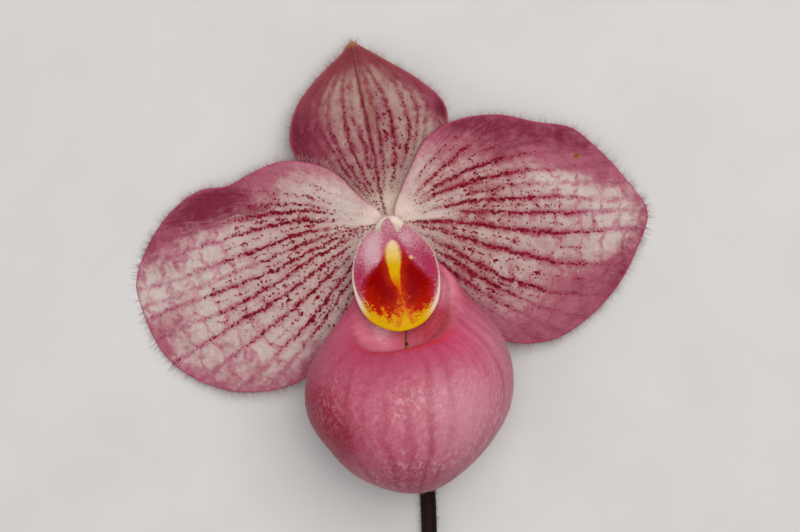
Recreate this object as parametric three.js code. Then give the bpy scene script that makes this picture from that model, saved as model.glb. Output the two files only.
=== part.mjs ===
// A slipper orchid flower, cut with its stem and laid on its back on a flat surface.
// Millimetres, +Z up. The stem lies along -Y, the flower faces +Z and its top sepal points along +Y.
// The origin is the middle of the bounding box, on the surface that the flower lies on.
// Points given as [x, y] or [x, y, z] are measured from the flower's own centre.
import * as THREE from "three";

// ---------- driving dimensions ----------
const FLOWER_AT = new THREE.Vector3(-0.3, 58.8, 0.06); // the flower's own centre in the part's frame
const JOINT_GAP = 0.35; // between pieces that grow on each other
const PETAL_THICK = 1.0;
const SEPAL_THICK = 0.9;
const POUCH_THICK = 1.0;
const STAMINODE_THICK = 1.1;
const BRACT_THICK = 0.5;
const BRACT_LENGTH = 15.0;
const BRACT_SHORT_SIDE = 0.3; // the open side's length as a share of BRACT_LENGTH
const STEM_CUT_Y = -150.0; // the cut end
const STEM_CUT_RADIUS = 1.6;
const STEM_RADIUS = 1.42;
const OVARY_TOP_Z = 10.5;
const OVARY_RADIUS = { foot: 1.5, swelling: 0.75, rim: 1.1 };
const COLUMN_RADIUS = { foot: 1.85, tip: 1.55 };

// ---------- heights of the flat organs over the surface that the flower lies on ----------
const PETAL_SEAT_Z = 13.2;
const PETAL_DROOP = 12.9; // how far a petal has fallen back at PETAL_REACH from the centre
const PETAL_REACH = 46.0;
const PETAL_DROOP_POWER = 1.4;
const WAVE_REACH = 40.0; // where a wave of a petal has its stated height
const SEPAL_SEAT_Z = 11.3;
const SEPAL_SEAT_RADIUS = 2.9;
const TOP_SEPAL_FALL = 0.2; // mm down for each mm out
const TOP_SEPAL_HOOD = 0.006;
const TOP_SEPAL_HOOD_FROM = 14.0;
const TOP_SEPAL_KEEL = 0.5;
const LOWER_SEPAL_LEVEL = 7.0;
const LOWER_SEPAL_FALL_LENGTH = 8.0;
const STAMINODE_TOP_Z = 20.0;
const STAMINODE_RISE = 7.0;
const STAMINODE_LENGTH = 19.5;
const STAMINODE_LEAN = 0.11; // its middle line moves this much in x for each mm down
const STAMINODE_ARCH = 0.034;
const STAMINODE_GROOVE = 0.45;

// Waves of a petal's surface: [angle in degrees, half-width in degrees, height in mm].
const LEFT_WAVES = [[146, 13, 1.6], [167, 10, -3.0], [218, 16, 0.9], [240, 10, -0.6]];
const RIGHT_WAVES = [[64, 11, 1.0], [36, 11, -1.8], [20, 9, 1.3], [-36, 12, -0.5]];

// ---------- outlines of the flat organs, seen from the front ----------
const PETAL_LEFT_OUTLINE = [
  [-1.4, 1.0], [-6.1, 5.3], [-9.8, 8.8], [-14.5, 10.6], [-19.5, 10.8], [-24.5, 9.0], [-29.2, 6.6],
  [-34.2, 5.8], [-38.8, 2.6], [-43.0, -3.0], [-45.8, -10.7], [-44.2, -17.0], [-40.2, -24.2],
  [-34.5, -28.3], [-27.6, -30.3], [-20.0, -29.8], [-14.0, -27.0], [-8.6, -20.5], [-4.8, -11.5],
  [-2.8, -4.2], [-2.4, -1.0],
];
const PETAL_RIGHT_OUTLINE = [
  [0.8, 1.2], [3.3, 9.0], [6.8, 15.4], [12.0, 18.3], [19.2, 19.3], [26.0, 18.1], [32.4, 17.1],
  [37.3, 13.2], [42.4, 7.9], [46.4, 2.0], [44.5, -4.5], [40.9, -11.3], [35.0, -17.5], [29.0, -21.0],
  [21.5, -21.3], [15.0, -17.8], [9.4, -10.6], [3.6, -3.4], [2.6, -0.4],
];
const TOP_SEPAL_OUTLINE = [
  [-6.9, 32.4], [-8.9, 29.9], [-13.6, 25.1], [-17.1, 19.7], [-17.8, 14.0], [-14.6, 8.6], [-8.2, 4.6],
  [-1.6, 0.9], [1.0, 1.0], [3.9, 6.2], [8.0, 11.8], [10.2, 17.0], [9.4, 21.4], [5.2, 25.5],
  [-1.3, 29.3], [-5.4, 31.6],
];
const LOWER_SEPAL_OUTLINE = [
  [-2.2, -4.9], [-6.0, -9.4], [-8.6, -16.0], [-8.2, -24.0], [-4.2, -32.0], [2.6, -38.4], [8.6, -33.0],
  [12.2, -25.0], [12.0, -16.0], [7.6, -9.4], [2.8, -4.8],
];
const STAMINODE_OUTLINE = [
  [-0.4, 0.7], [-1.5, -0.5], [-1.9, -1.9], [-3.1, -1.4], [-5.4, -4.0], [-6.5, -8.4], [-6.1, -12.6],
  [-4.1, -16.6], [-0.8, -18.6], [2.2, -19.0], [6.0, -17.4], [8.3, -14.0], [8.7, -9.6], [7.4, -4.8],
  [4.6, -1.7], [2.5, -0.4], [1.4, -1.7], [0.6, -0.5],
];

// ---------- the pouch: rings from the toe to the mouth, and on over the rim into the inside ----------
// front is [y, z] midway between the sides, back is [x, y, z], and sides are the x of the left and right side.
// drop lowers the left and the right side, rise shifts the right side up the flower and the left side down it.
// square shapes the front half: 2 is an ellipse, and more is squarer.
const POUCH_RINGS = [
  { front: [-45.9, 18.0], back: [4.6, -45.9, 18.0], sides: [4.6, 4.6], drop: [0, 0], rise: 0, square: 2.0 },
  { front: [-46.8, 23.0], back: [4.4, -43.6, 12.8], sides: [-0.4, 9.2], drop: [0, 0], rise: 0.2, square: 2.0 },
  { front: [-45.2, 29.2], back: [3.4, -39.4, 10.6], sides: [-6.9, 13.7], drop: [0, 0], rise: 0.4, square: 2.0 },
  { front: [-41.6, 34.5], back: [3.3, -34.4, 10.3], sides: [-11.5, 18.0], drop: [0, 0], rise: 0.7, square: 2.0 },
  { front: [-36.6, 37.6], back: [3.2, -29.4, 11.4], sides: [-14.1, 20.6], drop: [0, 0], rise: 1.0, square: 2.0 },
  { front: [-31.6, 38.4], back: [3.1, -24.4, 12.9], sides: [-14.6, 21.3], drop: [0, 0], rise: 1.2, square: 2.1 },
  { front: [-27.6, 37.2], back: [2.8, -19.3, 14.2], sides: [-13.2, 20.2], drop: [1, 0], rise: 1.4, square: 2.3 },
  { front: [-24.6, 34.6], back: [2.2, -14.4, 14.7], sides: [-10.4, 17.2], drop: [1.5, -1], rise: 1.6, square: 2.6 },
  { front: [-22.8, 31.6], back: [1.4, -9.8, 14.6], sides: [-7.6, 13.0], drop: [2, -2], rise: 1.8, square: 2.8 },
  { front: [-22.4, 29.2], back: [0.8, -6.4, 14.6], sides: [-6.0, 10.9], drop: [2.6, -1], rise: 2.0, square: 3.0 },
  { front: [-23.2, 27.4], back: [0.4, -4.7, 14.7], sides: [-4.0, 9.7], drop: [3.6, 1.5], rise: 2.1, square: 3.0 },
  { front: [-24.4, 26.6], back: [0.2, -3.8, 14.9], sides: [-2.0, 9.0], drop: [4.6, 4.0], rise: 2.1, square: 2.8 },
];

// ---------- middle lines of the stalks ----------
const STEM_PATH = [
  [9.6, STEM_CUT_Y, STEM_CUT_RADIUS], [8.4, -110.0, 1.5], [7.3, -75.0, STEM_RADIUS],
  [7.0, -54.0, 1.6], [6.5, -44.0, 2.1], [6.0, -38.6, 2.6],
];
const OVARY_PATH = [
  [6.0, -38.15, 2.65], [4.6, -29.0, 2.8], [2.8, -18.0, 3.0], [1.4, -10.0, 3.9], [0.5, -4.0, 6.6],
  [0.1, -1.63, 9.5], [0.1, -1.6, OVARY_TOP_Z],
];
const COLUMN_PATH = [
  [0.1, -1.6, OVARY_TOP_Z + JOINT_GAP], [0.1, -1.65, 15.0], [0.4, -3.0, 18.4], [0.9, -6.6, 21.3],
];

const look = (color, roughness) => new THREE.MeshStandardMaterial({ color, roughness, metalness: 0 });
const PETAL_LOOK = look(0xd9a3b2, 0.5);
const SEPAL_LOOK = look(0xc98f9c, 0.5);
const POUCH_LOOK = look(0xd0668c, 0.45);
const STAMINODE_LOOK = look(0xc23a1e, 0.4);
const COLUMN_LOOK = look(0xe9d8cf, 0.5);
const STIGMA_LOOK = look(0xdfe3c4, 0.35);
const ANTHER_LOOK = look(0xe5c25a, 0.4);
const OVARY_LOOK = look(0x6d4a35, 0.7);
const BRACT_LOOK = look(0x7c8a4a, 0.6);
const STEM_LOOK = look(0x4a1f18, 0.7);

// ---------- middle surfaces of the flat organs: the height at [x, y] ----------
const bump = (value, centre, halfWidth) => Math.exp(-(((value - centre) / halfWidth) ** 2));

// fromAngle is where the petal's angles start, so that none of them jumps by a full turn on the petal.
function petalHeight(waves, fromAngle) {
  return (x, y) => {
    const out = Math.hypot(x, y);
    const turned = THREE.MathUtils.radToDeg(Math.atan2(y, x));
    const angle = turned < fromAngle ? turned + 360 : turned;
    const droop = PETAL_DROOP * (out / PETAL_REACH) ** PETAL_DROOP_POWER;
    const wave = waves.reduce((sum, [at, halfWidth, size]) => sum + size * bump(angle, at, halfWidth), 0);
    return PETAL_SEAT_Z - droop + wave * (out / WAVE_REACH) ** 2;
  };
}

const TOP_SEPAL_AXIS = new THREE.Vector2(-0.21, 0.978).normalize();

function topSepalHeight(x, y) {
  const out = Math.hypot(x, y);
  const across = x * TOP_SEPAL_AXIS.y - y * TOP_SEPAL_AXIS.x;
  const keel = TOP_SEPAL_KEEL * bump(across, 0, 2) * Math.min(out / 10, 1);
  const hood = TOP_SEPAL_HOOD * Math.max(0, out - TOP_SEPAL_HOOD_FROM) ** 2;
  return SEPAL_SEAT_Z - TOP_SEPAL_FALL * out - keel + hood;
}

function lowerSepalHeight(x, y) {
  const out = Math.max(0, Math.hypot(x, y) - SEPAL_SEAT_RADIUS);
  const fall = (SEPAL_SEAT_Z - LOWER_SEPAL_LEVEL) * (1 - Math.exp(-out / LOWER_SEPAL_FALL_LENGTH));
  return SEPAL_SEAT_Z - fall;
}

function staminodeHeight(x, y) {
  const down = THREE.MathUtils.clamp((0.7 - y) / STAMINODE_LENGTH, 0, 1);
  const across = x + STAMINODE_LEAN * y;
  const groove = STAMINODE_GROOVE * bump(across, 0, 1.3) * bump(y, -7, 5);
  return STAMINODE_TOP_Z + STAMINODE_RISE * (1 - (1 - down) ** 2) - STAMINODE_ARCH * across ** 2 - groove;
}

// ---------- shapes: three.js solids whose vertices are moved to their place ----------
function finished(geometry) {
  geometry.deleteAttribute("uv");
  geometry.computeVertexNormals();
  return geometry;
}

// Moves each vertex of a sphere to place(turn, polar): its longitude and latitude, both from 0 to 1.
function moulded(around, rings, place) {
  const geometry = new THREE.SphereGeometry(1, around, rings);
  const position = geometry.attributes.position;
  for (let i = 0; i < position.count; i++) {
    const spot = new THREE.Vector3().fromBufferAttribute(position, i);
    const polar = Math.acos(THREE.MathUtils.clamp(spot.y, -1, 1)) / Math.PI;
    const turn = (Math.atan2(-spot.z, spot.x) / (2 * Math.PI) + 1) % 1;
    const point = place(turn, polar);
    position.setXYZ(i, point.x, point.y, point.z);
  }
  return finished(geometry);
}

function surfaceNormal(height, x, y) {
  const step = 0.05;
  const slopeX = (height(x + step, y) - height(x - step, y)) / (2 * step);
  const slopeY = (height(x, y + step) - height(x, y - step)) / (2 * step);
  return new THREE.Vector3(-slopeX, -slopeY, 1).normalize();
}

// A flat organ: one half of the sphere becomes its front face, the other its back, and the equator its edge.
const EDGE_FULLNESS = 8; // the higher, the fuller the thickness right up to the edge

function blade(outline, height, thickness, around = 40, rings = 14) {
  const points = outline.map(([x, y]) => new THREE.Vector3(x, y, 0));
  const edge = new THREE.CatmullRomCurve3(points, true, "centripetal");
  const hub = points.reduce((sum, p) => sum.add(p), new THREE.Vector3()).divideScalar(points.length);
  const counterClockwise = THREE.ShapeUtils.area(points) > 0;
  return moulded(around, rings, (turn, polar) => {
    const onFront = polar <= 0.5;
    const share = Math.min(1, 2 * (onFront ? polar : 1 - polar));
    const onEdge = edge.getPoint(counterClockwise ? turn : (1 - turn) % 1);
    const at = hub.clone().lerp(onEdge, 1 - (1 - share) ** 1.2);
    const half = (thickness / 2) * Math.sqrt(Math.max(0, 1 - share ** EDGE_FULLNESS));
    const normal = surfaceNormal(height, at.x, at.y);
    at.z = height(at.x, at.y);
    return at.addScaledVector(normal, onFront ? half : -half);
  });
}

const curveThrough = (path) => {
  const points = path.map((p) => new THREE.Vector3(...p));
  return new THREE.CatmullRomCurve3(points, false, "centripetal");
};

// The directions to the side of a stalk and upwards from it, where it runs along `along`.
function crossDirections(along) {
  const side = new THREE.Vector3(1, 0, 0);
  const right = side.clone().addScaledVector(along, -side.dot(along)).normalize();
  const up = new THREE.Vector3().crossVectors(right, along);
  return [right, up];
}

// A round stalk with flat ends. radius(share) goes from 0 at the path's start to 1 at its end.
function stalk(path, radius, around, steps) {
  const curve = curveThrough(path);
  const geometry = new THREE.CylinderGeometry(1, 1, 1, around, steps);
  const position = geometry.attributes.position;
  for (let i = 0; i < position.count; i++) {
    const share = THREE.MathUtils.clamp(position.getY(i) + 0.5, 0, 1);
    const size = radius(share);
    const [right, up] = crossDirections(curve.getTangent(share));
    const at = curve.getPoint(share);
    at.addScaledVector(right, position.getX(i) * size);
    at.addScaledVector(up, position.getZ(i) * size);
    position.setXYZ(i, at.x, at.y, at.z);
  }
  return finished(geometry);
}

// A smooth value through one number of each ring, at a share from 0 to 1.
function smoothly(numbers) {
  const points = numbers.map((n, i) => new THREE.Vector3(i, n, 0));
  const curve = new THREE.CatmullRomCurve3(points, false, "catmullrom", 0.5);
  return (share) => curve.getPoint(THREE.MathUtils.clamp(share, 0, 1)).y;
}

const ring = {
  frontY: smoothly(POUCH_RINGS.map((r) => r.front[0])),
  frontZ: smoothly(POUCH_RINGS.map((r) => r.front[1])),
  backX: smoothly(POUCH_RINGS.map((r) => r.back[0])),
  backY: smoothly(POUCH_RINGS.map((r) => r.back[1])),
  backZ: smoothly(POUCH_RINGS.map((r) => r.back[2])),
  left: smoothly(POUCH_RINGS.map((r) => r.sides[0])),
  right: smoothly(POUCH_RINGS.map((r) => r.sides[1])),
  dropLeft: smoothly(POUCH_RINGS.map((r) => r.drop[0])),
  dropRight: smoothly(POUCH_RINGS.map((r) => r.drop[1])),
  rise: smoothly(POUCH_RINGS.map((r) => r.rise)),
  square: smoothly(POUCH_RINGS.map((r) => r.square)),
};

const signedPower = (value, power) => Math.sign(value) * Math.abs(value) ** power;

// The pouch's middle surface: turn goes round it, 0 at the right and a quarter at the front, and share goes
// from the toe to the margin.
function pouchPoint(turn, share) {
  const inFront = turn < 0.5;
  const power = inFront ? 2 / ring.square(share) : 1;
  const across = signedPower(Math.cos(2 * Math.PI * turn), power);
  const ahead = signedPower(Math.sin(2 * Math.PI * turn), power);
  const middleX = (ring.left(share) + ring.right(share)) / 2;
  const front = new THREE.Vector3(middleX, ring.frontY(share), ring.frontZ(share));
  const back = new THREE.Vector3(middleX, ring.backY(share), ring.backZ(share));
  const point = back.clone().lerp(front, 0.5 + 0.5 * ahead);
  const drop = across < 0 ? ring.dropLeft(share) : ring.dropRight(share);
  point.x += ((ring.right(share) - ring.left(share)) / 2) * across;
  point.x += (ring.backX(share) - middleX) * Math.max(0, -ahead) ** 2;
  point.y += ring.rise(share) * across;
  point.z -= drop * across ** 2;
  return point;
}

function pouchNormal(turn, share) {
  if (share < 0.01) return new THREE.Vector3(0, -1, -0.35).normalize(); // at the toe
  const step = 0.004;
  const alongTurn = pouchPoint(turn + step, share).sub(pouchPoint(turn - step, share));
  const alongShare = pouchPoint(turn, Math.min(share + step, 1)).sub(pouchPoint(turn, share - step));
  return new THREE.Vector3().crossVectors(alongShare, alongTurn).normalize();
}

function pouch() {
  return moulded(36, 40, (turn, polar) => {
    const outside = polar <= 0.5;
    const share = Math.min(1, 2 * (outside ? polar : 1 - polar));
    const half = (POUCH_THICK / 2) * Math.sqrt(Math.max(0, 1 - share ** 24));
    return pouchPoint(turn, share).addScaledVector(pouchNormal(turn, share), outside ? half : -half);
  });
}

const stemRadius = (share) => THREE.MathUtils.lerp(STEM_CUT_RADIUS, STEM_RADIUS, Math.min(1, 2 * share));
const columnRadius = (share) => THREE.MathUtils.lerp(COLUMN_RADIUS.foot, COLUMN_RADIUS.tip, share);

function ovaryRadius(share) {
  const swelling = Math.sin(Math.PI * Math.min(share * 1.12, 1)) ** 0.8;
  return OVARY_RADIUS.foot + OVARY_RADIUS.swelling * swelling + OVARY_RADIUS.rim * share ** 5;
}

// The bract is a sleeve round the foot of the ovary, drawn out to a point on its upper side.
function bract() {
  const curve = curveThrough(OVARY_PATH);
  const foot = 0.02;
  const tip = BRACT_LENGTH / curve.getLength();
  const geometry = new THREE.TorusGeometry(2, 1, 12, 24);
  const position = geometry.attributes.position;
  for (let i = 0; i < position.count; i++) {
    const spot = new THREE.Vector3().fromBufferAttribute(position, i);
    const turn = Math.atan2(-spot.y, spot.x);
    const outward = Math.hypot(spot.x, spot.y) - 2;
    const endward = 0.5 + 0.5 * spot.z;
    const upper = 0.5 + 0.5 * Math.sin(turn);
    const end = tip * THREE.MathUtils.lerp(BRACT_SHORT_SIDE, 1, upper ** 2);
    const share = THREE.MathUtils.lerp(foot, end, endward);
    const wall = (BRACT_THICK / 2) * Math.sign(outward) * Math.min(1, Math.abs(outward) * 3);
    const spread = 0.3 * endward * upper;
    const radius = ovaryRadius(share) + JOINT_GAP + BRACT_THICK / 2 + wall + spread;
    const [right, up] = crossDirections(curve.getTangentAt(share));
    const at = curve.getPointAt(share);
    at.addScaledVector(right, Math.cos(turn) * radius);
    at.addScaledVector(up, Math.sin(turn) * radius);
    position.setXYZ(i, at.x, at.y, at.z);
  }
  return finished(geometry);
}

// A small rounded lump with the given half-sizes.
function lump(halfX, halfY, halfZ) {
  const geometry = new THREE.SphereGeometry(1, 14, 8);
  geometry.scale(halfX, halfY, halfZ);
  return geometry;
}

// ---------- the flower ----------
const flower = new THREE.Group();
flower.position.copy(FLOWER_AT);

function add(name, geometry, material, place = [0, 0, 0], tilt = 0) {
  const mesh = new THREE.Mesh(geometry, material);
  mesh.name = name;
  mesh.position.set(...place);
  mesh.rotation.x = tilt;
  flower.add(mesh);
}

add("stem", stalk(STEM_PATH, stemRadius, 14, 16), STEM_LOOK);
add("bract", bract(), BRACT_LOOK);
add("ovary", stalk(OVARY_PATH, ovaryRadius, 16, 18), OVARY_LOOK);
add("lower_sepal", blade(LOWER_SEPAL_OUTLINE, lowerSepalHeight, SEPAL_THICK, 32, 12), SEPAL_LOOK);
add("top_sepal", blade(TOP_SEPAL_OUTLINE, topSepalHeight, SEPAL_THICK), SEPAL_LOOK);
add("petal_left", blade(PETAL_LEFT_OUTLINE, petalHeight(LEFT_WAVES, 0), PETAL_THICK), PETAL_LOOK);
add("petal_right", blade(PETAL_RIGHT_OUTLINE, petalHeight(RIGHT_WAVES, -180), PETAL_THICK), PETAL_LOOK);
add("pouch", pouch(), POUCH_LOOK);
add("column", stalk(COLUMN_PATH, columnRadius, 16, 8), COLUMN_LOOK);
add("staminode", blade(STAMINODE_OUTLINE, staminodeHeight, STAMINODE_THICK, 48, 12), STAMINODE_LOOK);
add("stigma", lump(2.4, 2.0, 0.8), STIGMA_LOOK, [0.7, -6.8, 18.1], -0.69);
add("anther_left", lump(1.1, 1.5, 1.0), ANTHER_LOOK, [-2.3, -4.6, 19.7]);
add("anther_right", lump(1.1, 1.5, 1.0), ANTHER_LOOK, [3.5, -4.4, 19.7]);

export default flower;
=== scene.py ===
"""A slipper orchid flower, cut with its stem and laid on its back on a pale table top.

Sizes inside the shapes below are millimetres from the flower's own centre. put_down() moves a finished
shape to its place on the table and turns it into metres. The stem lies along -Y and the flower faces +Z.
"""
import math

import bmesh
import bpy
import numpy as np
from mathutils import Matrix


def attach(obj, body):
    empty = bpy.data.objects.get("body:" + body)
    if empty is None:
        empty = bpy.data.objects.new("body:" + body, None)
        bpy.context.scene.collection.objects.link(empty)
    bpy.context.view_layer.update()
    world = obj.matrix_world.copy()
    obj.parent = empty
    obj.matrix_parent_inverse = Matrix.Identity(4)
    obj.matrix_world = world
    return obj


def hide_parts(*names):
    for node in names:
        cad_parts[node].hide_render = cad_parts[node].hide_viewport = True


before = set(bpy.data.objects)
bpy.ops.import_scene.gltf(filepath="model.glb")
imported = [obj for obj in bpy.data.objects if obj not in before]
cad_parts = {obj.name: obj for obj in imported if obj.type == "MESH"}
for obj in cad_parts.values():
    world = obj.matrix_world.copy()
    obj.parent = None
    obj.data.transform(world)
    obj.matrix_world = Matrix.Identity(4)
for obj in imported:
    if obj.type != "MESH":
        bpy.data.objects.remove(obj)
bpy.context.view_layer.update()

bl_info = {
    "name": "Slipper Orchid",
    "version": (1, 0, 0),
    "blender": (4, 5, 0),
    "location": "3D View > Sidebar > Orchid",
    "description": "Grows a cut slipper orchid flower from its stem to its petals, pouch and column",
    "category": "Add Mesh",
}

MM = 0.001
FULL_TURN = 2 * math.pi
FLOWER_AT = np.array([-0.3, 58.8, 0.06])  # the flower's own centre over the table, in mm
CLEAR_OF_TABLE = 0.02

# ---------- outlines of the flat organs, [x, y] ----------
PETAL_LEFT = [
    [-1.4, 1], [-6.1, 5.3], [-9.8, 8.8], [-14.5, 10.6], [-19.5, 10.8], [-24.5, 9], [-29.2, 6.6],
    [-34.2, 5.8], [-38.8, 2.6], [-43, -3], [-45.8, -10.7], [-44.2, -17], [-40.2, -24.2], [-34.5, -28.3],
    [-27.6, -30.3], [-20, -29.8], [-14, -27], [-8.6, -20.5], [-4.8, -11.5], [-2.8, -4.2], [-2.4, -1],
]
PETAL_RIGHT = [
    [0.8, 1.2], [3.3, 9], [6.8, 15.4], [12, 18.3], [19.2, 19.3], [26, 18.1], [32.4, 17.1], [37.3, 13.2],
    [42.4, 7.9], [46.4, 2], [44.5, -4.5], [40.9, -11.3], [35, -17.5], [29, -21], [21.5, -21.3], [15, -17.8],
    [9.4, -10.6], [3.6, -3.4], [2.6, -0.4],
]
TOP_SEPAL = [
    [-6.9, 32.4], [-8.9, 29.9], [-13.6, 25.1], [-17.1, 19.7], [-17.8, 14], [-14.6, 8.6], [-8.2, 4.6],
    [-1.6, 0.9], [1, 1], [3.9, 6.2], [8, 11.8], [10.2, 17], [9.7, 21.2], [5.2, 25.5], [-1.3, 29.3],
    [-5.4, 31.6],
]
LOWER_SEPAL = [
    [-2.2, -4.9], [-6, -9.4], [-8.6, -16], [-8.2, -24], [-4.2, -32], [2.6, -38.4], [8.6, -33], [12.2, -25],
    [12, -16], [7.6, -9.4], [2.8, -4.8],
]
STAMINODE = [
    [-0.4, 0.7], [-1.5, -0.5], [-1.9, -1.9], [-3.1, -1.4], [-5.4, -4], [-6.5, -8.4], [-6.1, -12.6],
    [-4.1, -16.6], [-0.8, -18.6], [2.2, -19], [6, -17.4], [8.3, -14], [8.7, -9.6], [7.4, -4.8], [4.6, -1.7],
    [2.5, -0.4], [1.4, -1.7], [0.6, -0.5],
]

# ---------- how the flat organs stand over the table ----------
PETAL_SEAT_Z = 13.2
PETAL_DROOP = 12.9  # how far a petal has fallen back at PETAL_REACH from the centre
PETAL_REACH = 46.0
PETAL_DROOP_POWER = 1.4
WAVE_REACH = 40.0
LEFT_WAVES = [[146, 13, 1.6], [167, 10, -3], [218, 16, 0.9], [240, 10, -0.6]]  # angle, half-width, height
RIGHT_WAVES = [[64, 11, 1], [36, 11, -1.8], [20, 9, 1.3], [-36, 12, -0.5]]
SEPAL_SEAT_Z = 11.3
SEPAL_SEAT_RADIUS = 2.9
STAMINODE_TOP_Z = 20.0

# ---------- veins: one row a vein, its bearing in degrees at each distance, then how spotted it is ----------
FAN_REACH = [4.0, 9.0, 15.0, 22.0, 30.0, 40.0]
LEFT_VEINS = [
    ([144, 146, 149, 153, 158, 164], [0, 0.12, 0.2, 0.1, 0, 0]),
    ([152, 153, 155, 158, 163, 168], [0, 0.2, 0.35, 0.22, 0, 0]),
    ([160, 161, 163, 166, 170, 175], [0.1, 0.3, 0.5, 0.4, 0.1, 0]),
    ([167, 167.5, 168.5, 172, 176.5, 180], [0.2, 0.3, 0.7, 0.6, 0.2, 0]),
    ([170, 170.6, 172.5, 176.6, 180.6, 184], [0.1, 0.3, 0.95, 0.8, 0.3, 0.05]),
    ([177, 177.4, 178.8, 182.5, 186, 189], [0.1, 0.35, 0.98, 0.9, 0.4, 0.1]),
    ([185, 185.5, 187, 190.8, 193.2, 195], [0.2, 0.4, 0.95, 0.9, 0.6, 0.15]),
    ([190, 192, 194, 197, 197.8, 199], [0.75, 0.7, 0.85, 0.65, 0.25, 0.1]),
    ([196, 198, 200, 202.6, 202.4, 201.5], [0.6, 0.55, 0.9, 0.95, 0.75, 0.35]),
    ([202, 203, 205.5, 208, 208.5, 207], [0.3, 0.65, 0.9, 0.8, 0.7, 0.25]),
    ([210, 211.5, 213.5, 215, 213.8, 213], [0.1, 0.55, 0.98, 1, 0.9, 0.3]),
    ([221, 221.8, 221.3, 221.4, 221, 220], [0, 0.4, 0.92, 0.9, 0.55, 0.1]),
    ([228, 228.8, 230, 231, 229.5, 228], [0, 0.4, 1, 0.95, 0.35, 0]),
    ([235, 235.6, 236.4, 236.2, 234.5, 233], [0, 0.3, 0.75, 0.65, 0.15, 0]),
    ([243, 243.5, 242.5, 241.8, 240.5, 239], [0, 0.3, 0.65, 0.4, 0, 0]),
    ([251, 250, 248, 246.5, 245, 244], [0, 0.1, 0.3, 0.1, 0, 0]),
]
RIGHT_VEINS = [
    ([70, 66, 62, 58, 54, 51], [0, 0.1, 0.15, 0, 0, 0]),
    ([60, 58.5, 55.5, 52, 48, 45], [0, 0.4, 0.5, 0.1, 0, 0]),
    ([49, 47.4, 45.8, 44, 41.5, 39], [0.15, 0.6, 0.8, 0.45, 0.05, 0]),
    ([41, 38.6, 35, 30, 24.6, 20], [0.1, 0.6, 0.92, 0.75, 0.2, 0]),
    ([33, 31.3, 27.4, 23, 18.4, 15], [0.1, 0.75, 0.98, 0.9, 0.35, 0.05]),
    ([24, 22.6, 20, 17, 13.6, 10], [0.25, 0.25, 0.6, 0.6, 0.2, 0.05]),
    ([18, 17, 14.6, 11, 8.8, 5.6], [0.2, 0.6, 0.92, 0.98, 0.55, 0.15]),
    ([9, 8, 6.2, 4.6, 3.4, 2.9], [0, 0.05, 0.75, 0.75, 0.75, 0.2]),
    ([0.6, 0.8, -0.8, -3.2, -3.7, -1.5], [0.9, 1, 1, 1, 0.85, 0.35]),
    ([-10, -9.8, -12.2, -13.6, -13.4, -10.5], [0.35, 0.55, 0.98, 0.95, 0.8, 0.25]),
    ([-21, -22, -25, -26, -23.6, -19], [0.25, 0.6, 0.98, 0.98, 0.7, 0.1]),
    ([-31, -31, -31.5, -31.2, -29.6, -26], [0.1, 0.5, 0.9, 0.9, 0.35, 0]),
    ([-38, -38.2, -38.4, -37, -34.4, -32], [0, 0.5, 0.85, 0.65, 0.1, 0]),
    ([-46, -46, -45, -42.6, -39.4, -37], [0, 0.4, 0.7, 0.3, 0, 0]),
    ([-54, -54, -52, -49, -45, -42], [0, 0.2, 0.25, 0, 0, 0]),
]
# The sepals' veins run beside the midrib: how far to the side they are, in mm, at each distance along it.
SEPAL_ALONG = [4.0, 9.0, 14.0, 19.0, 24.0, 29.0]
TOP_SEPAL_VEINS = [
    ([-4, -8.8, -11.5, -13.4, -12, -6.5], [0, 0, 0.1, 0.05, 0, 0]),
    ([-3.4, -6.6, -8.8, -11.2, -9.9, -4.8], [0, 0.55, 0.5, 0.3, 0.05, 0]),
    ([-2.7, -5.3, -7.05, -9.1, -8.1, -3.8], [0.3, 0.75, 0.62, 0.35, 0.05, 0]),
    ([-1.9, -4.1, -6, -7.3, -6, -2.8], [0.4, 0.8, 0.65, 0.42, 0.15, 0]),
    ([-1.4, -2.9, -4, -3.95, -3.7, -1.8], [0.4, 0.85, 0.9, 0.65, 0.35, 0.05]),
    ([-1, -1.5, -1.75, -2.4, -2.2, -1.1], [0.2, 0.5, 0.65, 0.4, 0.15, 0]),
    ([-0.7, -0.47, -0.41, -0.25, -0.33, -0.31], [0.9, 1, 1, 0.85, 0.45, 0.25]),
    ([0.2, 0.74, 1.46, 1.72, 1.21, 0.5], [0.1, 0.55, 0.75, 0.55, 0.25, 0.05]),
    ([1, 2.7, 3.8, 4.05, 3.1, 1.2], [0.2, 0.75, 0.9, 0.75, 0.45, 0.15]),
    ([1.7, 4.2, 6.43, 7.05, 6, 2.6], [0.1, 0.5, 0.65, 0.6, 0.25, 0.05]),
    ([2.3, 5.2, 7.75, 9.3, 7.6, 3.6], [0, 0.25, 0.45, 0.48, 0.1, 0]),
    ([2.9, 6.4, 9.2, 10.9, 9.6, 4.8], [0, 0.1, 0.25, 0.3, 0.05, 0]),
    ([3.6, 8.6, 12.9, 13.6, 12, 6.4], [0, 0, 0, 0, 0, 0]),
]
LOWER_SEPAL_VEINS = [
    ([2 * k * w for w in (0.7, 1.15, 1.5, 1.6, 1.35, 0.8)], [0.05, 0.3, 0.35, 0.25, 0.1, 0])
    for k in (-3, -2, -1, 0, 1, 2, 3)
]

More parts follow.
